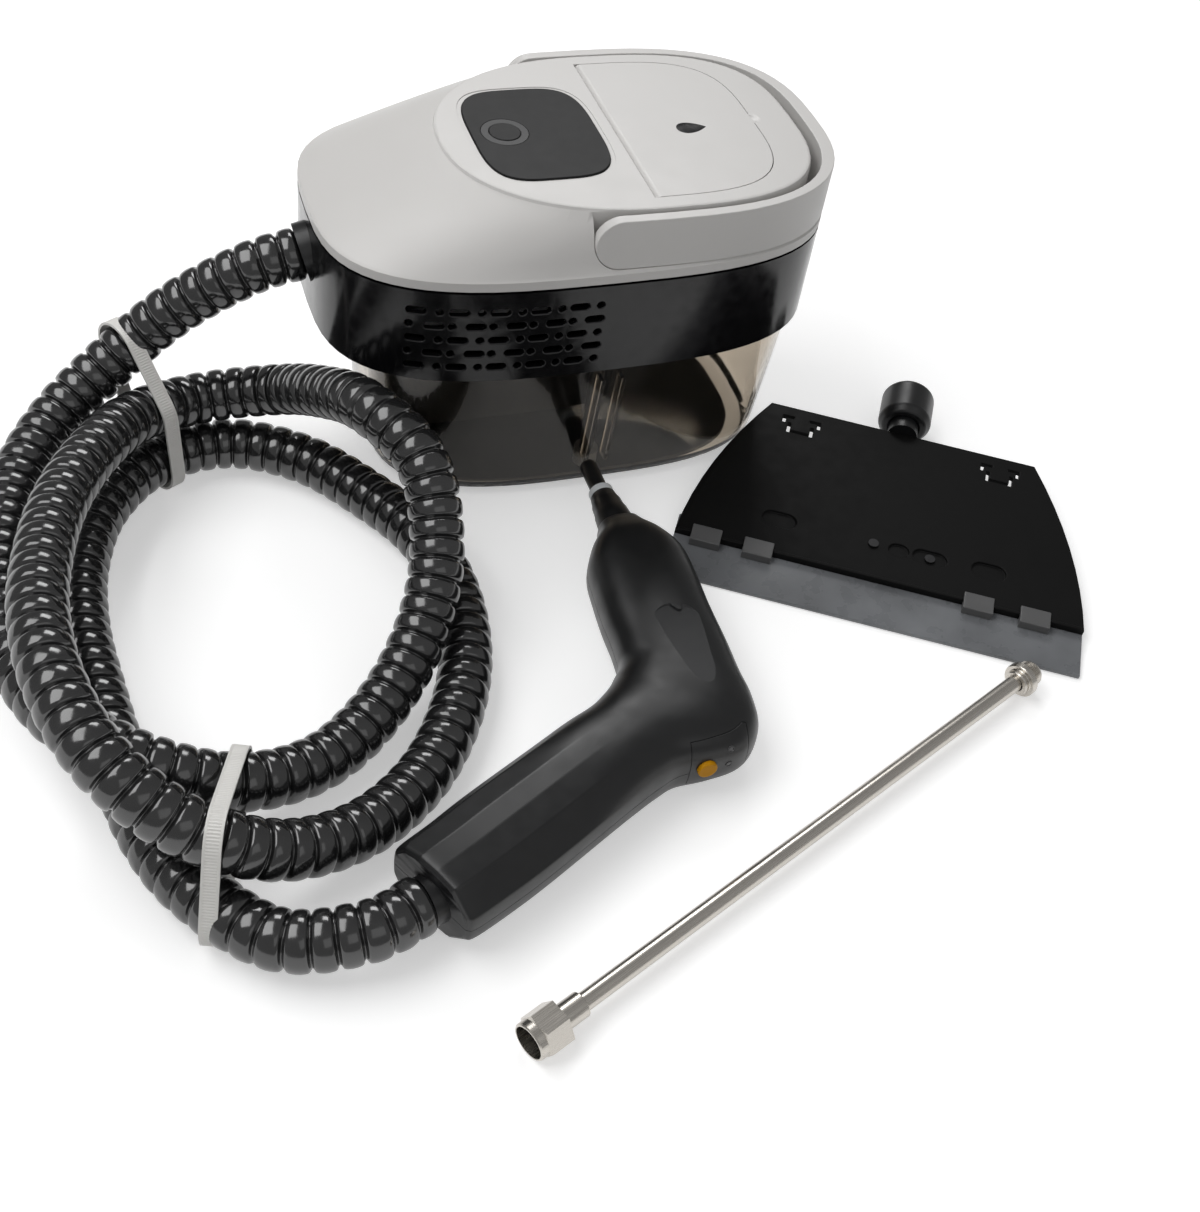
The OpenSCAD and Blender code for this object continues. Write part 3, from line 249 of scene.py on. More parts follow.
def spread(nodes, links, source, low, high, start=0.3, stop=0.7):
    """A value from low to high as the source goes from start to stop."""
    scale = nodes.new("ShaderNodeMapRange")
    scale.inputs["From Min"].default_value = start
    scale.inputs["From Max"].default_value = stop
    scale.inputs["To Min"].default_value = low
    scale.inputs["To Max"].default_value = high
    links.new(source, scale.inputs["Value"])
    return scale.outputs["Result"]


def tint(nodes, links, source, colour, change):
    """The colour, a little darker and lighter by the source."""
    mix = nodes.new("ShaderNodeMix")
    mix.data_type = "RGBA"
    mix.inputs["A"].default_value = (*[c * (1 - change) for c in colour], 1)
    mix.inputs["B"].default_value = (*[min(1, c * (1 + change)) for c in colour], 1)
    links.new(source, mix.inputs["Factor"])
    return mix.outputs["Result"]


def bump(nodes, links, height, strength, depth):
    node = nodes.new("ShaderNodeBump")
    node.inputs["Strength"].default_value = strength
    node.inputs["Distance"].default_value = depth
    links.new(height, node.inputs["Height"])
    return node.outputs["Normal"]


def surface(name, colour, rough, change=0.04, patch=30, rough_change=0.05,
            grain=1800, grain_depth=0.02 * MM, grain_strength=0.3, **sockets):
    """A moulded or metal surface with cloudy colour, uneven gloss and a fine grain."""
    material, nodes, links = new_material(name)
    shader = nodes["Principled BSDF"]
    clouds = noise(nodes, links, patch)
    links.new(tint(nodes, links, clouds, colour, change), shader.inputs["Base Color"])
    wear = noise(nodes, links, patch * 4, 5)
    gloss = spread(nodes, links, wear, rough - rough_change, rough + rough_change)
    links.new(gloss, shader.inputs["Roughness"])
    fine = noise(nodes, links, grain, 2)
    links.new(bump(nodes, links, fine, grain_strength, grain_depth), shader.inputs["Normal"])
    for socket, value in sockets.items():
        shader.inputs[socket.replace("_", " ")].default_value = value
    return material


MARK_SCALE = 40
MARK_DETAIL = 4
MARK_STRETCH = (1, 0.02, 0.02)
MARK_TINT = 0.08
MARK_ROUGH = 0.05
MARK_BUMP = 0.03
MARK_DEPTH = 0.005 * MM


def brushed(name, colour, rough, turn):
    """Plated steel with fine marks that run along the heading."""
    material, nodes, links = new_material(name)
    shader = nodes["Principled BSDF"]
    shader.inputs["Metallic"].default_value = 1.0
    marks = noise(nodes, links, MARK_SCALE, MARK_DETAIL, turn, MARK_STRETCH)
    links.new(tint(nodes, links, marks, colour, MARK_TINT), shader.inputs["Base Color"])
    gloss = spread(nodes, links, marks, rough - MARK_ROUGH, rough + MARK_ROUGH)
    links.new(gloss, shader.inputs["Roughness"])
    links.new(bump(nodes, links, marks, MARK_BUMP, MARK_DEPTH), shader.inputs["Normal"])
    return material


HAZE_SCALE = 60
HAZE_DETAIL = 4
HAZE_TINT = 0.05
HAZE_LEAST = 0.6
HAZE_MOST = 1.6


def smoked(name, colour, rough):
    """Clear tinted plastic with a faint unevenness."""
    material, nodes, links = new_material(name)
    shader = nodes["Principled BSDF"]
    haze = noise(nodes, links, HAZE_SCALE, HAZE_DETAIL)
    links.new(tint(nodes, links, haze, colour, HAZE_TINT), shader.inputs["Base Color"])
    gloss = spread(nodes, links, haze, rough * HAZE_LEAST, rough * HAZE_MOST)
    links.new(gloss, shader.inputs["Roughness"])
    shader.inputs["Transmission Weight"].default_value = 1.0
    shader.inputs["IOR"].default_value = 1.32
    shader.inputs["Specular IOR Level"].default_value = 0.2
    return material


WAND_TURN = math.radians(23)
SURFACES = {
    "white_shell": dict(colour=(0.575, 0.564, 0.55), rough=0.4, change=0.02, patch=18,
                        grain=2600, grain_depth=0.015 * MM),
    "panel_black": dict(colour=(0.014, 0.014, 0.0144), rough=0.46, change=0.1, patch=40, rough_change=0.02,
                        grain=2600, grain_depth=0.01 * MM, grain_strength=0.2, Specular_IOR_Level=0.16),
    # Thumb flat: a little rougher than the black plastic, and lighter in colour as painted light, standing
    # in for the light the flat catches
    "pad_painted_light": dict(colour=(0.016, 0.0164, 0.0175), rough=0.42, change=0.1, patch=40, rough_change=0.03,
                      grain=3200, grain_depth=0.015 * MM),
    "gloss_black": dict(colour=(0.004, 0.004, 0.0045), rough=0.16, change=0.2, patch=40,
                        grain=900, grain_depth=0.004 * MM, grain_strength=0.15, Specular_IOR_Level=0.4),
    "black_plastic": dict(colour=(0.006, 0.0062, 0.0067), rough=0.35, change=0.12, rough_change=0.04,
                          grain=2600, grain_depth=0.012 * MM),
    "head_black": dict(colour=(0.004, 0.004, 0.004), rough=0.5, change=0.12, rough_change=0.06,
                       grain=2600, Specular_IOR_Level=0.14),
    "clip_satin": dict(colour=(0.095, 0.095, 0.096), rough=0.35, change=0.12, rough_change=0.06, grain=2600),
    "ring_grey": dict(colour=(0.055, 0.055, 0.056), rough=0.4, change=0.05, rough_change=0.02,
                      Specular_IOR_Level=0.2),
    "ring_white": dict(colour=(0.6, 0.62, 0.63), rough=0.35, change=0.05),
    "hose_black": dict(colour=(0.011, 0.011, 0.0114), rough=0.15, change=0.25, patch=60,
                       grain=500, grain_strength=0.2, Specular_IOR_Level=1.0),
    "tube_black": dict(colour=(0.02, 0.02, 0.02), rough=0.4),
    "rubber_black": dict(colour=(0.018, 0.018, 0.018), rough=0.6, change=0.15),
    "rubber_grey": dict(colour=(0.15, 0.156, 0.165), rough=0.3, change=0.55, patch=25, rough_change=0.1,
                        grain=60, grain_depth=0.6 * MM, grain_strength=0.5),
    "silicone_grey": dict(colour=(0.4, 0.4, 0.4), rough=0.5),
    "grey_plastic": dict(colour=(0.32, 0.33, 0.335), rough=0.4),
    "nylon_grey": dict(colour=(0.66, 0.65, 0.625), rough=0.4, change=0.05, patch=80, rough_change=0.06,
                       grain=1200),
    "lens_clear": dict(colour=(0.06, 0.06, 0.062), rough=0.1, change=0.1),
    "button_yellow": dict(colour=(0.52, 0.235, 0.004), rough=0.4, change=0.08, patch=200, rough_change=0.06,
                          grain=3000, Specular_IOR_Level=0.1),
    "steel": dict(colour=(0.5, 0.5, 0.5), rough=0.32, change=0.06, patch=80, rough_change=0.08,
                  grain=1500, Metallic=1.0),
    "dark_steel": dict(colour=(0.06, 0.06, 0.062), rough=0.4, change=0.1, patch=80, rough_change=0.06,
                       grain=1500, Metallic=1.0),
    "cast_alloy": dict(colour=(0.5, 0.5, 0.51), rough=0.45, change=0.06, patch=60, rough_change=0.1,
                       grain=900, Metallic=1.0),
    "brass": dict(colour=(0.6, 0.42, 0.16), rough=0.35, change=0.06, patch=60, rough_change=0.08,
                  grain=900, Metallic=1.0),
    "board_green": dict(colour=(0.02, 0.11, 0.04), rough=0.4),
}
FINISHES = {name: surface(name, **look) for name, look in SURFACES.items()}
FINISHES["smoked_tank"] = smoked("smoked_tank", (0.74, 0.685, 0.61), 0.05)
FINISHES["nickel_steel"] = brushed("nickel_steel", (0.56, 0.53, 0.485), 0.27, WAND_TURN)
SLOT_OF = {s["node"]: s["material_slot"] for s in frame["record"]["subparts"]}
BODY_OF = {n: b for b, names in frame["record"]["behaviour"]["bodies"].items() for n in names}


def paint(piece, finish):
    piece.data.materials.clear()
    piece.data.materials.append(FINISHES[finish])


paint(hose, "hose_black")


# Shells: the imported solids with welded, softened edges

MERGE = 0.004 * MM
FLAT = math.radians(0.4)
SHARP = math.radians(32)
EDGE_SEGMENTS = 3


def soften(piece, width):
    """Round the piece's sharp edges."""
    edge = piece.modifiers.new("edges", "BEVEL")
    edge.width = width
    edge.segments = EDGE_SEGMENTS
    edge.limit_method = "ANGLE"
    edge.angle_limit = SHARP
    edge.use_clamp_overlap = True
    edge.miter_outer = "MITER_ARC"
    shade = piece.modifiers.new("shade", "WEIGHTED_NORMAL")
    shade.keep_sharp = True
    shade.weight = 60


def weld(mesh):
    """Join split vertices, merge flat faces and mark the sharp edges."""
    work = bmesh.new()
    work.from_mesh(mesh)
    bmesh.ops.remove_doubles(work, verts=work.verts, dist=MERGE)
    bmesh.ops.dissolve_limit(work, angle_limit=FLAT, verts=work.verts, edges=work.edges)
    for face in work.faces:
        face.smooth = True
    for edge in work.edges:
        edge.smooth = len(edge.link_faces) == 2 and edge.calc_face_angle(0) < SHARP
    work.to_mesh(mesh)
    work.free()


def stand_for(piece, node):
    """Let the piece take the node's place, body and finish."""
    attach(piece, BODY_OF[node])
    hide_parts(node)
    paint(piece, SLOT_OF[node])


def dress(node, width):
    """A softened copy that stands for the node."""
    piece = copy_of(NODES[node], node + "_shell")
    weld(piece.data)
    soften(piece, width)
    stand_for(piece, node)
    return piece


def cut(piece, tool, operation="DIFFERENCE"):
    """Apply a boolean with the tool, and remove the tool."""
    step = piece.modifiers.new("cut", "BOOLEAN")
    step.operation = operation
    step.solver = "EXACT"
    step.object = tool
    whole = piece.evaluated_get(bpy.context.evaluated_depsgraph_get())
    piece.data = bpy.data.meshes.new_from_object(whole)
    piece.modifiers.clear()
    bpy.data.objects.remove(tool)


BOX_FACES = [(0, 1, 3, 2), (4, 6, 7, 5), (0, 4, 5, 1), (2, 3, 7, 6), (0, 2, 6, 4), (1, 5, 7, 3)]


def box_tool(low, high):
    corners = [(x, y, z) for x in (low[0], high[0]) for y in (low[1], high[1]) for z in (low[2], high[2])]
    return link_mesh("tool", corners, BOX_FACES)


# How near a face's heading and place come to a known surface to be shaded by it
FOLLOWS = math.radians(24)
LIP = math.radians(75)
ON_FACE = 0.3 * MM


def set_normals(piece, surface_at, lips=False):
    """Shade faces that follow a known surface by it, lips as rolled edges, and the others flat."""
    mesh = piece.data
    smooth_all(piece)
    normals = []
    for face in mesh.polygons:
        known, off = surface_at(face.center)
        turn = known.angle(face.normal, math.pi)
        for k in face.vertices:
            normal, depth = surface_at(mesh.vertices[k].co)
            if turn < FOLLOWS and off < ON_FACE:
                normals.append(normal)
            elif lips and turn < LIP:
                rolled = face.normal - normal * face.normal.dot(normal)
                normals.append(normal if depth < ON_FACE else rolled.normalized())
            else:
                normals.append(face.normal)
    mesh.normals_split_custom_set([tuple(n) for n in normals])


# Width of each shell's rounded edges, in millimetres
EDGE = {
    "top_cover": 0.4, "carry_handle": 1.6, "filler_lid": 0.25, "control_panel": 0.4, "tank": 0.3,
    "power_button": 0.6, "button_ring": 0.2, "steam_button": 0.7, "wand_ferrule": 0.4, "head_plate": 0.7,
    "head_clips": 0.5, "head_collar": 1.0, "head_blade": 0.5, "nozzle_ring": 0.4, "hose_gland": 0.6,
}
SHELLS = {node: dress(node, width * MM) for node, width in EDGE.items()}


# Band: its solid with flared vent mouths, shaded as the smooth oval that it follows

BODY_POWER = 3.1
VENT_LEFT = -105.5 * MM
VENT_PITCH_X = 20.8 * MM
VENT_PITCH_Z = 8.5 * MM
VENT_DROP = 13 * MM
VENT_SLOT = 10 * MM
VENT_H = 3.6 * MM
VENT_ROWS = 5
VENT_PAIRS = 5
# How far the last dot or slot of a pair stays inside the pitch
DOT_INSIDE = 1 * MM
SLOT_INSIDE = 2 * MM
FLARE_STEPS = 8
FLARE = 1.0 * MM
FLARE_OUT = 0.5 * MM


def oval_normal(x, y, a, b):
    return Vector((math.copysign(abs(x / a) ** (BODY_POWER - 1) / a, x),
                   math.copysign(abs(y / b) ** (BODY_POWER - 1) / b, y), 0)).normalized()


def vent_places():
    """Middle and length of each vent along its row: a slot and a dot in turn."""
    for row in range(VENT_ROWS):
        for pair in range(VENT_PAIRS):
            x = VENT_LEFT + pair * VENT_PITCH_X
            if row % 2 == 0:
                slot, dot = VENT_SLOT / 2, VENT_PITCH_X - VENT_H - DOT_INSIDE
            else:
                slot, dot = VENT_PITCH_X - VENT_SLOT / 2 - SLOT_INSIDE, VENT_H / 2
            yield x + slot, row, VENT_SLOT
            yield x + dot, row, VENT_H


def flare_rings(length):
    """Obround loops from outside the wall to the vent's own size below its face."""
    loops = []
    for grow, out in ((FLARE + FLARE_OUT, FLARE_OUT), (0, -FLARE)):
        r = VENT_H / 2 + grow
        half = (length - VENT_H) / 2
        turn = [math.pi * (k / FLARE_STEPS - 0.5) for k in range(FLARE_STEPS + 1)]
        right = [(half + r * math.cos(t), r * math.sin(t), out) for t in turn]
        left = [(-half - r * math.cos(t), -r * math.sin(t), out) for t in turn]
        loops.append(right + left)
    return loops


def make_flares(a, b, top):
    vertices, faces = [], []
    for side in (-1, 1):
        for x, row, length in vent_places():
            y = side * b * (1 - abs(x / a) ** BODY_POWER) ** (1 / BODY_POWER)
            out = oval_normal(x, y, a, b)
            up = Vector((0, 0, 1))
            along_wall = up.cross(out)
            middle = Vector((x, y, top - row * VENT_PITCH_Z))
            outer, inner = flare_rings(length)
            first, n = len(vertices), len(outer)
            vertices += [middle + along_wall * p[0] + up * p[1] + out * p[2] for p in outer + inner]
            faces.append([first + k for k in range(n)])
            faces.append([first + n + k for k in reversed(range(n))])
            for k in range(n):
                j = (k + 1) % n
                faces.append((first + j, first + k, first + n + k, first + n + j))
    return link_mesh("tool", vertices, faces)


def make_band():
    low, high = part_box("mid_housing")
    a, b = (high[0] - low[0]) / 2, (high[1] - low[1]) / 2
    band = copy_of(NODES["mid_housing"], "band_shell")
    weld(band.data)
    cut(band, make_flares(a, b, high[2] - VENT_DROP))

    def wall_at(p):
        share = (abs(p.x / a) ** BODY_POWER + abs(p.y / b) ** BODY_POWER) ** (1 / BODY_POWER)
        return oval_normal(p.x, p.y, a, b), abs(share - 1) * b

    set_normals(band, wall_at, lips=True)
    stand_for(band, "mid_housing")


make_band()


# Gun: one bent loft with a faceted grip and a thumb flat, parted into two shells and a cap

GUN_POWER = 2.7
BARREL_W = 58 * MM
GRIP_W = 54 * MM
GUN_T = 44 * MM
# Each ring: its middle in millimetres, its turn in degrees, and its shares of the width and of the height
BARREL_RINGS = [
    (3.5, -131, 0, 0.42, 0.55), (3, -138, 0, 0.5, 0.72), (2.5, -148, 1, 0.74, 0.89),
    (2.5, -161, 0, 0.94, 0.96), (1.5, -179, -2, 0.98, 1), (0, -200, -9, 0.99, 1),
    (-0.5, -220, -17, 1.02, 1), (-1.5, -236, -27, 1.09, 1), (-2, -247, -35, 1.2, 1),
    (-5, -257.5, -43, 1.31, 1), (-12.5, -265.5, -50, 1.31, 0.98), (-23, -269.5, -57, 1.15, 0.98),
]
GRIP_RINGS = [
    (-35, -272.5, -63.5, 1.04, 0.98), (-46, -278, -64.5, 0.98, 0.98), (-64, -286.5, -61.5, 0.99, 1),
    (-113, -312, -60.5, 1.01, 1), (-136, -324, -61, 0.98, 1), (-153, -332, -62.5, 0.95, 0.96),
    (-156.5, -333.5, -62.5, 0.86, 0.83),
]
GUN_STEPS = 12
SECTION_STEPS = 81
# Edges of the grip's facets across its half width, and where along X they come in
FACET_EDGES = (-0.97, -0.74, -0.33, 0.07, 0.53, 0.97)
FACET_START = -52 * MM
FACET_FULL = -97 * MM
FACET_SOFT = 0.025
FACET_CLEAR = 0.015
# Flat for the thumb: an arch in plan, deepest at its round end and running out toward the heel
THUMB_ARCH = Vector((1 * MM, -223 * MM, 0))
THUMB_R = 14.2 * MM
THUMB_SIDES = [(-14 * MM, -238 * MM), (-9 * MM, -264 * MM), (26 * MM, -272 * MM), (21.5 * MM, -244 * MM)]
THUMB_DEPTH = 0.9 * MM
THUMB_ROLL = 0.045
THUMB_RUN = 58 * MM
THUMB_LEAN = 0.9 * MM
THUMB_STEPS = 24
# How near the thumb flat's floor a point has to be to lie on it
PAD_NEAR = 0.01 * MM
CAP_X = (-18.5 * MM, 12.5 * MM)
CAP_Y = (-300 * MM, -285.5 * MM)
CAP_Z = (GUN_Z - 9 * MM, GUN_Z + 16.5 * MM)
SEAM = 0.3 * MM
TRIGGER_AT = Vector((-10 * MM, -297.5 * MM, GUN_Z + 2 * MM))
TRIGGER_BORE_R = 5.15 * MM
TRIGGER_BORE_HALF = 20 * MM
BORE_SIDES = 48
# Run out of the cap and radius, in millimetres: a ring, then the lens within it
LENS_PROFILE = [(-2, 1.9), (0.15, 1.9), (0.3, 1.75), (0.3, 1.45), (0.05, 1.3), (0.15, 0.8)]
LENS_SIDES = 32
# Well past the gun on every side, in metres
FAR = 1.0
# Keeps a corner's weight finite at the corner itself
CORNER_ROOM = 0.01 * MM


def ease(x, start, stop):
    """0 before start, 1 after stop, smooth between."""
    t = np.clip((x - start) / (stop - start), 0, 1)
    return t * t * (3 - 2 * t)


def across_places():
    """Places across a gun section from 1 to -1, close together at the ends and the facet edges."""
    turn = np.linspace(0, math.pi, SECTION_STEPS)
    even = np.sign(np.cos(turn)) * np.abs(np.cos(turn)) ** (2 / GUN_POWER)
    beside = [e + d for e in FACET_EDGES[1:-1] for d in (-FACET_SOFT, 0, FACET_SOFT)]
    kept = [u for u in even if min(abs(u - e) for e in beside) > FACET_CLEAR]
    return np.array(sorted(kept + beside, reverse=True))


def rise(u):
    """Share of the half height at a place across the section."""
    return np.clip(1 - np.abs(u) ** GUN_POWER, 0, 1) ** (1 / GUN_POWER)


def gun_loops():
    """Dense loops of points along the gun, from the nozzle's end to the hose's end."""
    widths = [r[3] * BARREL_W for r in BARREL_RINGS] + [r[3] * GRIP_W for r in GRIP_RINGS]
    rows = np.array([(x * MM, y * MM, math.radians(turn), w / 2, h * GUN_T / 2)
                     for (x, y, turn, _, h), w in zip(BARREL_RINGS + GRIP_RINGS, widths)])
    rows = spline_through(rows, GUN_STEPS)
    u = across_places()
    knots = np.array(FACET_EDGES)
    flat_rise = np.where(np.abs(u) < knots[-1], np.interp(u, knots, rise(knots)), rise(u))
    loops = []
    for x, y, turn, w, h in rows:
        faceted = ease(x, FACET_START, FACET_FULL)
        height = h * (rise(u) * (1 - faceted) + flat_rise * faceted)
        px = x + math.cos(turn) * w * u
        py = y + math.sin(turn) * w * u
        over = np.stack([px, py, GUN_Z + height], 1)
        under = np.stack([px, py, GUN_Z - height], 1)[-2:0:-1]
        loops.append(np.vstack([over, under]))
    return np.array(loops)


def make_gun_form():
    loops = gun_loops()
    count, n = loops.shape[:2]
    faces = [[k for k in reversed(range(n))], [(count - 1) * n + k for k in range(n)]]
    for r in range(count - 1):
        for k in range(n):
            j = (k + 1) % n
            faces.append((r * n + k, r * n + j, (r + 1) * n + j, (r + 1) * n + k))
    form = link_mesh("gun_form", loops.reshape(-1, 3), faces)
    smooth_all(form)
    return form


def bore_tool(at, radius, half):
    """A drill along Y through the point."""
    n = BORE_SIDES
    turn = [2 * math.pi * k / n for k in range(n)]
    vertices = [at + Vector((math.cos(t) * radius, side * half, math.sin(t) * radius))
                for side in (-1, 1) for t in turn]
    faces = [[k for k in range(n)], [n + k for k in reversed(range(n))]]
    faces += [((k + 1) % n, k, n + k, n + (k + 1) % n) for k in range(n)]
    return link_mesh("tool", vertices, faces)


def thumb_floor(x, y):
    """Height of the thumb flat's floor."""
    start = THUMB_ARCH.y + THUMB_R
    return (GUN_Z + GUN_T / 2 - THUMB_DEPTH * (1 - (start - y) / THUMB_RUN)
            - THUMB_ROLL * (x - THUMB_ARCH.x))


def thumb_tool():
    """A block with an arched outline and a sloping floor."""
    turn = [math.pi * k / THUMB_STEPS for k in range(THUMB_STEPS + 1)]
    outline = [(THUMB_ARCH.x + math.cos(t) * THUMB_R, THUMB_ARCH.y + math.sin(t) * THUMB_R) for t in turn]
    outline += THUMB_SIDES
    n = len(outline)
    floor = [(x, y, thumb_floor(x, y)) for x, y in outline]
    wide = 1 + THUMB_LEAN / THUMB_R
    roof = [(THUMB_ARCH.x + (x - THUMB_ARCH.x) * wide,
             THUMB_ARCH.y + (y - THUMB_ARCH.y) * wide,
             z + THUMB_DEPTH) for x, y, z in floor]
    faces = [[k for k in reversed(range(n))], [n + k for k in range(n)]]
    faces += [(k, (k + 1) % n, n + (k + 1) % n, n + k) for k in range(n)]
    return link_mesh("tool", floor + roof, faces)


def tree_of(mesh):
    return BVHTree.FromPolygons([v.co.copy() for v in mesh.vertices],
                                [tuple(f.vertices) for f in mesh.polygons])


def surface_of(form):
    """Smooth normals of the whole form, looked up by place."""
    mesh = form.data
    tree = tree_of(mesh)
    corner = {f.index: [(mesh.vertices[k].co.copy(), mesh.vertices[k].normal.copy()) for k in f.vertices]
              for f in mesh.polygons}

    def surface_at(p):
        _, flat, index, off = tree.find_nearest(p)
        if len(corner[index]) > 4:
            return flat, off
        weighed = Vector((0, 0, 0))
        for co, normal in corner[index]:
            weighed += normal / ((co - p).length + CORNER_ROOM)
        return weighed.normalized(), off
    return surface_at


def make_lenses(form):
    """Two small lenses in rings, set square to the cap's face."""
    tree = tree_of(form.data)
    places = np.array([v.co for v in NODES["indicator_lenses"].data.vertices])
    middle = (places[:, 2].min() + places[:, 2].max()) / 2
    vertices, faces = [], []
    for group in (places[places[:, 2] < middle], places[places[:, 2] >= middle]):
        at = Vector((group.min(0) + group.max(0)) / 2)
        hit, out, _, _ = tree.ray_cast(Vector((at.x, -FAR, at.z)), Vector((0, 1, 0)))
        side = out.orthogonal().normalized()
        other = out.cross(side)
        first = len(vertices)
        for run, radius in LENS_PROFILE:
            for k in range(LENS_SIDES):
                t = 2 * math.pi * k / LENS_SIDES
                vertices.append(hit + (out * run + (side * math.cos(t) + other * math.sin(t)) * radius) * MM)
        faces.append([first + k for k in reversed(range(LENS_SIDES))])
        for r in range(len(LENS_PROFILE) - 1):
            low, high = first + r * LENS_SIDES, first + (r + 1) * LENS_SIDES
            faces += [(low + k, low + (k + 1) % LENS_SIDES, high + (k + 1) % LENS_SIDES, high + k)
                      for k in range(LENS_SIDES)]
        faces.append([len(vertices) - LENS_SIDES + k for k in range(LENS_SIDES)])
    lenses = link_mesh("lens_pair", vertices, faces)
    stand_for(lenses, "indicator_lenses")
    lenses.data.materials.append(FINISHES["ring_grey"])
    per_lens = len(faces) // 2
    for index, face in enumerate(lenses.data.polygons):
        if LENS_SIDES <= index % per_lens <= 3 * LENS_SIDES:
            face.material_index = 1


def make_gun():
    form = make_gun_form()
    surface_at = surface_of(form)
    cap_low = Vector((CAP_X[0], CAP_Y[0], CAP_Z[0]))
    cap_high = Vector((CAP_X[1], CAP_Y[1], CAP_Z[1]))
    room = Vector((SEAM, SEAM, SEAM))
    halves = (("gun_shell_upper", (-FAR, -FAR, GUN_Z + SEAM / 2), (FAR, FAR, FAR)),
              ("gun_shell_lower", (-FAR, -FAR, -FAR), (FAR, FAR, GUN_Z - SEAM / 2)))
    for node, low, high in halves:
        half = copy_of(form, node + "_skin")
        cut(half, box_tool(low, high), "INTERSECT")
        cut(half, box_tool(cap_low - room, cap_high + room))
        if node == "gun_shell_upper":
            cut(half, thumb_tool())
        set_normals(half, surface_at)
        stand_for(half, node)
        # Faces on the thumb flat's floor get the pad finish, a lighter copy of the black plastic: painted
        # light
        half.data.materials.append(FINISHES["pad_painted_light"])
        above = [v.co.z - thumb_floor(v.co.x, v.co.y) for v in half.data.vertices]
        for face in half.data.polygons:
            if max(abs(above[k]) for k in face.vertices) < PAD_NEAR:
                face.material_index = 1
    cap = copy_of(form, "gun_end_cap_skin")
    cut(cap, box_tool(cap_low, cap_high), "INTERSECT")
    cut(cap, bore_tool(TRIGGER_AT, TRIGGER_BORE_R, TRIGGER_BORE_HALF))
    set_normals(cap, surface_at)
    stand_for(cap, "gun_end_cap")
    make_lenses(form)
    bpy.data.objects.remove(form)


make_gun()


# Turned pieces: the nozzle's cone and tip, and the wand's tube, threaded end and nut

NOZZLE_AT = Vector((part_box("gun_nozzle")[0][0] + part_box("gun_nozzle")[1][0], 0, 2 * GUN_Z)) / 2
NOZZLE_AT.y = -127 * MM
# Run along the axis and radius, in millimetres
NOZZLE_PROFILE = [
    (-6, 0), (-6, 10.4), (-1, 10.4), (1.5, 10.2), (8, 9.6), (9, 9.1), (16, 8.5), (17, 8), (22.2, 7.2),
    (23, 6.6), (23, 5), (47, 5), (49, 4.6), (50, 3.7), (50, 2), (34, 2), (34, 0),
]
WAND_START = Vector((-132, -406, 9.5)) * MM
TUBE_PROFILE = [(14, 3), (14, 4.5), (351, 4.5), (351, 3), (14, 3)]
# The nut's round front, and room for the hexagon behind it
NUT_PROFILE = [(-1, 0), (-1, 8.4), (0, 8.7), (0.6, 9.2), (4, 9.3), (5.2, 11.5), (40, 11.5), (40, 0)]
NUT_EDGE = 0.4 * MM
TUBE_SIDES = 96
TURNED_SIDES = 64
FLANGE_PROFILE = [
    (0, 4.5), (0, 6.4), (0.6, 7), (2.6, 7), (3, 7.4), (3, 9), (3.5, 9.5), (6.5, 9.5), (7, 9), (7, 6.3),
]
FITTING_HALF = 7.5 * MM
FITTING_D = 14.0
THREAD_START = 8
THREADS = 5
THREAD_PITCH = 1.15
THREAD_DEPTH = 0.7
# Where a thread's crest lies in its pitch
THREAD_CREST = (0.4, 0.6)


def lathe(name, profile, at, axis, sides=TURNED_SIDES):
    """Turn a profile of (run, radius) about the axis."""
    axis = Vector(axis).normalized()
    side = axis.orthogonal().normalized()
    other = axis.cross(side)
    vertices, faces = [], []
    for run, radius in profile:
        for k in range(sides):
            t = 2 * math.pi * k / sides
            vertices.append(at + axis * run * MM + (side * math.cos(t) + other * math.sin(t)) * radius * MM)
    for r in range(len(profile) - 1):
        for k in range(sides):
            j = (k + 1) % sides
            faces.append((r * sides + k, r * sides + j, (r + 1) * sides + j, (r + 1) * sides + k))
    piece = link_mesh(name, vertices, faces)
    weld(piece.data)
    return piece


def fitting_profile():
    """A flange, a threaded end, and back through the bore."""
    crest = FITTING_D / 2
    root = crest - THREAD_DEPTH
    profile = list(FLANGE_PROFILE)
    for k in range(THREADS):
        low = THREAD_START + k * THREAD_PITCH
        profile += [(low, root)] + [(low + share * THREAD_PITCH, crest) for share in THREAD_CREST]
    return profile + [(14.6, root), (15, 5.9), (15, 3), (10, 3), (0, 4.5)]


def make_turned():
    nozzle = lathe("nozzle_turned", NOZZLE_PROFILE, NOZZLE_AT, (0, 1, 0))
    stand_for(nozzle, "gun_nozzle")
    way = Vector((math.cos(WAND_TURN), math.sin(WAND_TURN), 0))
    low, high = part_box("wand_fitting")
    middle = (Vector(low) + Vector(high)) / 2
    fitting = lathe("fitting_turned", fitting_profile(), middle - way * FITTING_HALF, way)
    stand_for(fitting, "wand_fitting")
    tube = lathe("tube_turned", TUBE_PROFILE, WAND_START, way, TUBE_SIDES)
    stand_for(tube, "wand_tube")
    nut = copy_of(NODES["wand_nut"], "wand_nut_shell")
    weld(nut.data)
    cut(nut, lathe("tool", NUT_PROFILE, WAND_START, way), "INTERSECT")
    weld(nut.data)
    soften(nut, NUT_EDGE)
    stand_for(nut, "wand_nut")


make_turned()


# Ties: bands round the strands, ribbed across between plain rims

TIE_W = 8 * MM
TIE_T = 1.4 * MM
TIE_R = HOSE_D / 2 + 1.6 * MM
TIE_RIB = 0.7 * MM
TIE_RIB_H = 0.22 * MM
TIE_RIM = 1.2 * MM
TIE_STEPS = 96
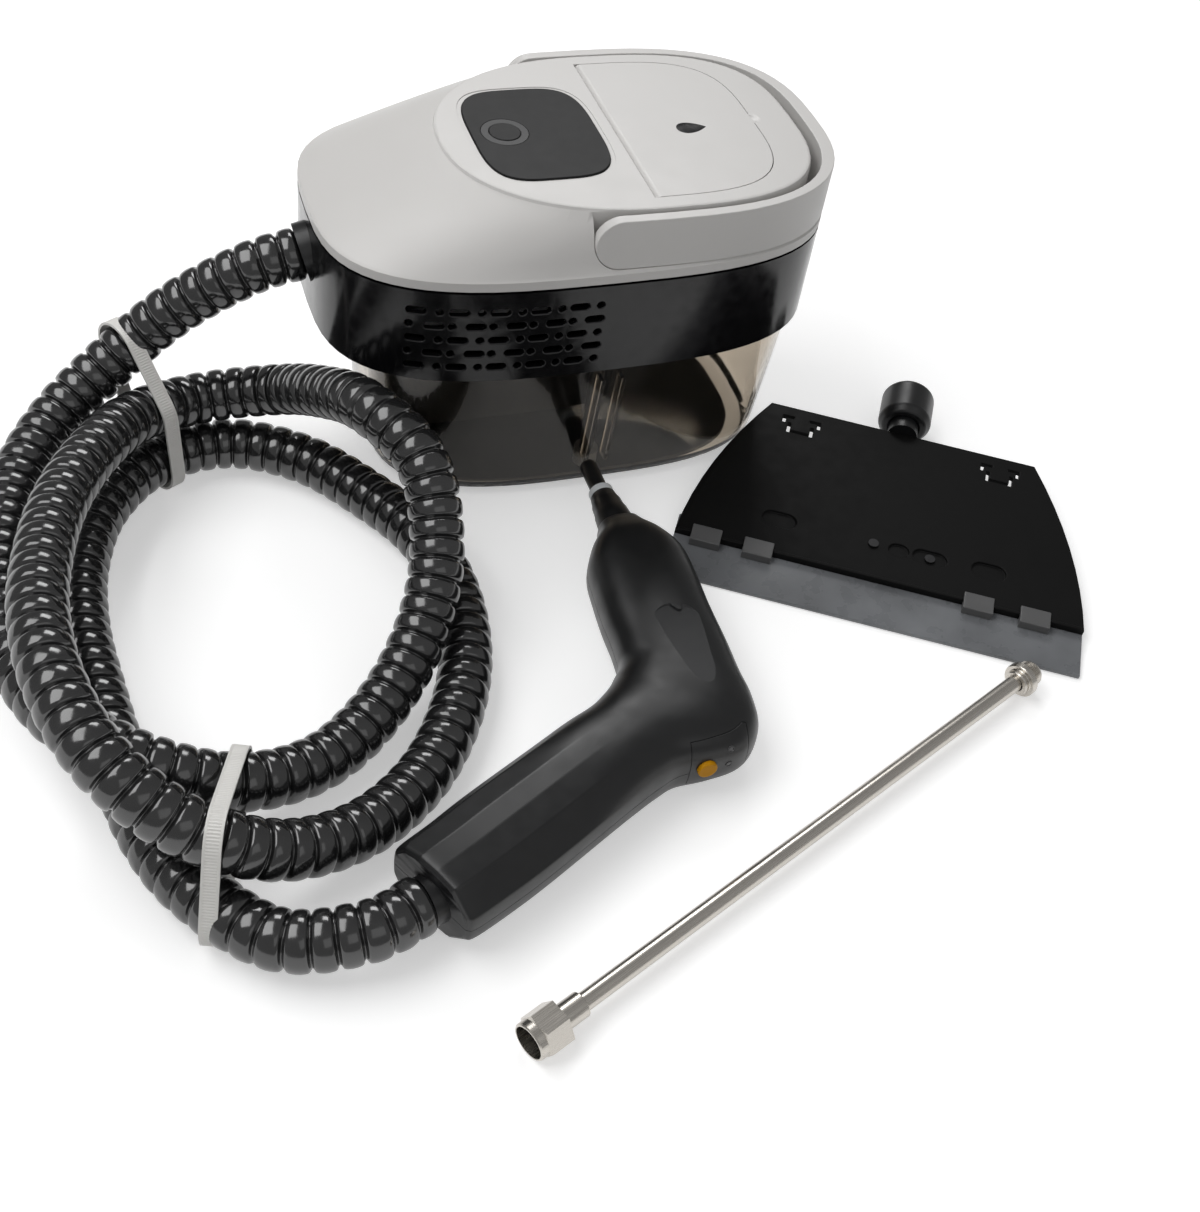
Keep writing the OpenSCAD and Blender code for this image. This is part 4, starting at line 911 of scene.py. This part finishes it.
# Each tie: a point it is drawn round, its heading, and the strands' places across it in millimetres
UPPER_TIE_AT = Vector((-228, -18, 46)) * MM
UPPER_TIE_TURN = math.radians(207)
UPPER_STRANDS = [(-20.4, 30.5), (2.6, 5), (4.9, -28)]
LOWER_TIE_AT = Vector((-238, -290, 36)) * MM
LOWER_TIE_TURN = math.radians(-20)
LOWER_STRANDS = [(35.1, -7.7), (-8.4, 9.3), (-23.9, -18.5)]


def turn_of(a, b):
    """Above 0 where b turns left of a."""
    return a[0] * b[1] - a[1] * b[0]


def hull_of(points):
    """Convex hull in plan, turning left."""
    def half(run):
        kept = []
        for p in run:
            while len(kept) > 1 and turn_of(kept[-1] - kept[-2], p - kept[-1]) <= 0:
                kept.pop()
            kept.append(p)
        return kept[:-1]
    run = sorted((np.array(p) for p in points), key=tuple)
    return np.array(half(run) + half(run[::-1]))


def make_tie(node, at, turn, strands):
    angles = np.linspace(0, 2 * math.pi, TIE_STEPS, endpoint=False)
    rims = [(y * MM + math.cos(t) * TIE_R, z * MM + math.sin(t) * TIE_R) for y, z in strands for t in angles]
    loop = hull_of(rims)
    loop = np.vstack([loop, loop[:1]])
    length = travelled(loop)[-1]
    count = 2 * int(length / TIE_RIB / 2)
    path = points_at(loop, np.arange(count) * length / count)
    way = np.roll(path, -1, axis=0) - np.roll(path, 1, axis=0)
    way /= np.linalg.norm(way, axis=1)[:, None]
    out = np.stack([way[:, 1], -way[:, 0]], 1)
    ahead = Vector((math.cos(turn), math.sin(turn), 0))
    beside = Vector((-math.sin(turn), math.cos(turn), 0))
    half = TIE_W / 2
    vertices, faces = [], []
    for k in range(count):
        rib = TIE_T - TIE_RIB_H * (k % 2)
        section = ((-half, 0), (-half, TIE_T), (TIE_RIM - half, TIE_T), (TIE_RIM - half, rib),
                   (half - TIE_RIM, rib), (half - TIE_RIM, TIE_T), (half, TIE_T), (half, 0))
        n = len(section)
        for across, lift in section:
            y, z = path[k] + out[k] * lift
            vertices.append(at + ahead * across + beside * y + Vector((0, 0, z)))
        low, high = k * n, (k + 1) % count * n
        faces += [(low + i, high + i, high + (i + 1) % n, low + (i + 1) % n) for i in range(n)]
    tie = link_mesh(node + "_band", vertices, faces)
    stand_for(tie, node)
    return tie


UPPER_TIE = make_tie("upper_tie", UPPER_TIE_AT, UPPER_TIE_TURN, UPPER_STRANDS)
LOWER_TIE = make_tie("lower_tie", LOWER_TIE_AT, LOWER_TIE_TURN, LOWER_STRANDS)


# Drop mark let into the lid

DROP_AT = Vector((66 * MM, -5 * MM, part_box("filler_lid")[1][2]))
DROP_L = 17 * MM
DROP_W = 11 * MM
DROP_T = 0.25 * MM
DROP_PROUD = 0.03 * MM
# How full the drop is, and how sharply it narrows to its point
DROP_FULL = 0.6
DROP_TAPER = 0.9
DROP_SIDES = 48


def make_drop():
    outline = []
    for k in range(DROP_SIDES):
        t = 2 * math.pi * k / DROP_SIDES
        across = math.sin(t) * math.sin(t / 2) ** DROP_TAPER * DROP_W * DROP_FULL
        outline.append((math.cos(t) * DROP_L / 2, across))
    top = [DROP_AT + Vector((x, y, DROP_PROUD)) for x, y in outline]
    under = [DROP_AT + Vector((x, y, -DROP_T)) for x, y in outline]
    n = DROP_SIDES
    faces = [[k for k in range(n)], [n + k for k in reversed(range(n))]]
    faces += [((k + 1) % n, k, n + k, n + (k + 1) % n) for k in range(n)]
    drop = link_mesh("drop_mark", top + under, faces)
    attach(drop, BODY_OF["filler_lid"])
    paint(drop, "gloss_black")


make_drop()


# Finishes that differ from the slot's own

FOOT_LOW = 3.2 * MM
FOOT_HIGH = 6.5 * MM
FOOT_TILT = 0.3
SHELL_SEEN_AS = {
    "control_panel": "panel_black", "power_button": "panel_black", "button_ring": "ring_grey",
    "nozzle_ring": "ring_white", "head_plate": "head_black", "head_clips": "clip_satin",
}
SEEN_AS = {"boiler_well": "head_black", "head_screws": "dark_steel"}


def darken_foot(tank):
    """Dark faces round the tank's foot, but for those that look up."""
    tank.data.materials.append(FINISHES["rubber_black"])
    for face in tank.data.polygons:
        if FOOT_LOW < face.center.z < FOOT_HIGH and face.normal.z < FOOT_TILT:
            face.material_index = 1


darken_foot(SHELLS["tank"])
for node, finish in SHELL_SEEN_AS.items():
    paint(SHELLS[node], finish)
for node, thing in NODES.items():
    if not thing.hide_render:
        paint(thing, SEEN_AS.get(node, SLOT_OF[node]))


# Floor and light

FLOOR_HALF = 6.0
FLOOR_DROP = 0.2 * MM
FLOOR_GREY = 0.82
# What lifts the floor to white, and between which distances in metres it grows: more where no lamp reaches
LIFT_NEAR = 0.42
LIFT_FAR = 0.8
LIFT_SPAN = (0.6, 2.2)
# Light from in front and from behind, and the share of Y over which one turns into the other
SKY_FRONT = 0.36
SKY_BACK = 0.22
SKY_SPAN = (-0.2, 0.8)
# Each lamp: its place, what it faces, its two sides in metres, and its power in watts
LAMPS = {
    "key": ((-0.8, 0.1, 1.35), (-0.05, -0.15, 0.05), (1.3, 0.9), 13),
    "rim": ((0.28, 0.9, 1.08), (-0.09, -0.3, 0.04), (0.7, 0.45), 5.8),
    "fill": ((0.1, -1.3, 1.1), (0, -0.1, 0.08), (1.2, 0.8), 1.5),
}


def make_floor():
    corners = [(x * FLOOR_HALF, y * FLOOR_HALF, 0) for x, y in ((-1, -1), (1, -1), (1, 1), (-1, 1))]
    floor = link_mesh("floor", corners, [(0, 1, 2, 3)])
    floor.location.z = -FLOOR_DROP
    material, nodes, links = new_material("floor")
    out = nodes["Material Output"]
    shader = nodes["Principled BSDF"]
    shader.inputs["Base Color"].default_value = (FLOOR_GREY, FLOOR_GREY, FLOOR_GREY, 1)
    shader.inputs["Roughness"].default_value = 0.9
    shader.inputs["Specular IOR Level"].default_value = 0.1
    path = nodes.new("ShaderNodeLightPath")
    glow = nodes.new("ShaderNodeEmission")
    glow.inputs["Color"].default_value = (1, 1, 1, 1)
    seen = path.outputs["Is Camera Ray"]
    for ray in ("Is Transmission Ray", "Is Glossy Ray"):
        either = nodes.new("ShaderNodeMath")
        either.operation = "MAXIMUM"
        links.new(seen, either.inputs[0])
        links.new(path.outputs[ray], either.inputs[1])
        seen = either.outputs[0]
    lift = nodes.new("ShaderNodeMath")
    lift.operation = "MULTIPLY"
    links.new(seen, lift.inputs[0])
    place = nodes.new("ShaderNodeTexCoord")
    reach = nodes.new("ShaderNodeVectorMath")
    reach.operation = "LENGTH"
    links.new(place.outputs["Object"], reach.inputs[0])
    level = spread(nodes, links, reach.outputs["Value"], LIFT_NEAR, LIFT_FAR, *LIFT_SPAN)
    links.new(level, lift.inputs[1])
    links.new(lift.outputs[0], glow.inputs["Strength"])
    add = nodes.new("ShaderNodeAddShader")
    links.new(shader.outputs[0], add.inputs[0])
    links.new(glow.outputs[0], add.inputs[1])
    links.new(add.outputs[0], out.inputs["Surface"])
    floor.data.materials.append(material)


def make_world():
    world = bpy.data.worlds.new("studio")
    scene.world = world
    world.use_nodes = True
    nodes, links = world.node_tree.nodes, world.node_tree.links
    path = nodes.new("ShaderNodeLightPath")
    plain = nodes["Background"]
    plain.inputs["Color"].default_value = (1, 1, 1, 1)
    place = nodes.new("ShaderNodeTexCoord")
    split = nodes.new("ShaderNodeSeparateXYZ")
    links.new(place.outputs["Generated"], split.inputs["Vector"])
    level = spread(nodes, links, split.outputs["Y"], SKY_FRONT, SKY_BACK, *SKY_SPAN)
    links.new(level, plain.inputs["Strength"])
    white = nodes.new("ShaderNodeBackground")
    white.inputs["Color"].default_value = (1, 1, 1, 1)
    white.inputs["Strength"].default_value = 1.0
    mix = nodes.new("ShaderNodeMixShader")
    links.new(path.outputs["Is Camera Ray"], mix.inputs["Fac"])
    links.new(plain.outputs[0], mix.inputs[1])
    links.new(white.outputs[0], mix.inputs[2])
    links.new(mix.outputs[0], nodes["World Output"].inputs["Surface"])


def make_lamp(name, place, aim, size, power):
    data = bpy.data.lights.new(name, "AREA")
    data.shape = "RECTANGLE"
    data.size, data.size_y = size
    data.energy = power
    lamp = bpy.data.objects.new(name, data)
    scene.collection.objects.link(lamp)
    lamp.location = place
    lamp.rotation_euler = (Vector(aim) - Vector(place)).to_track_quat("-Z", "Y").to_euler()


make_floor()
make_world()
for name, lamp in LAMPS.items():
    make_lamp(name, *lamp)
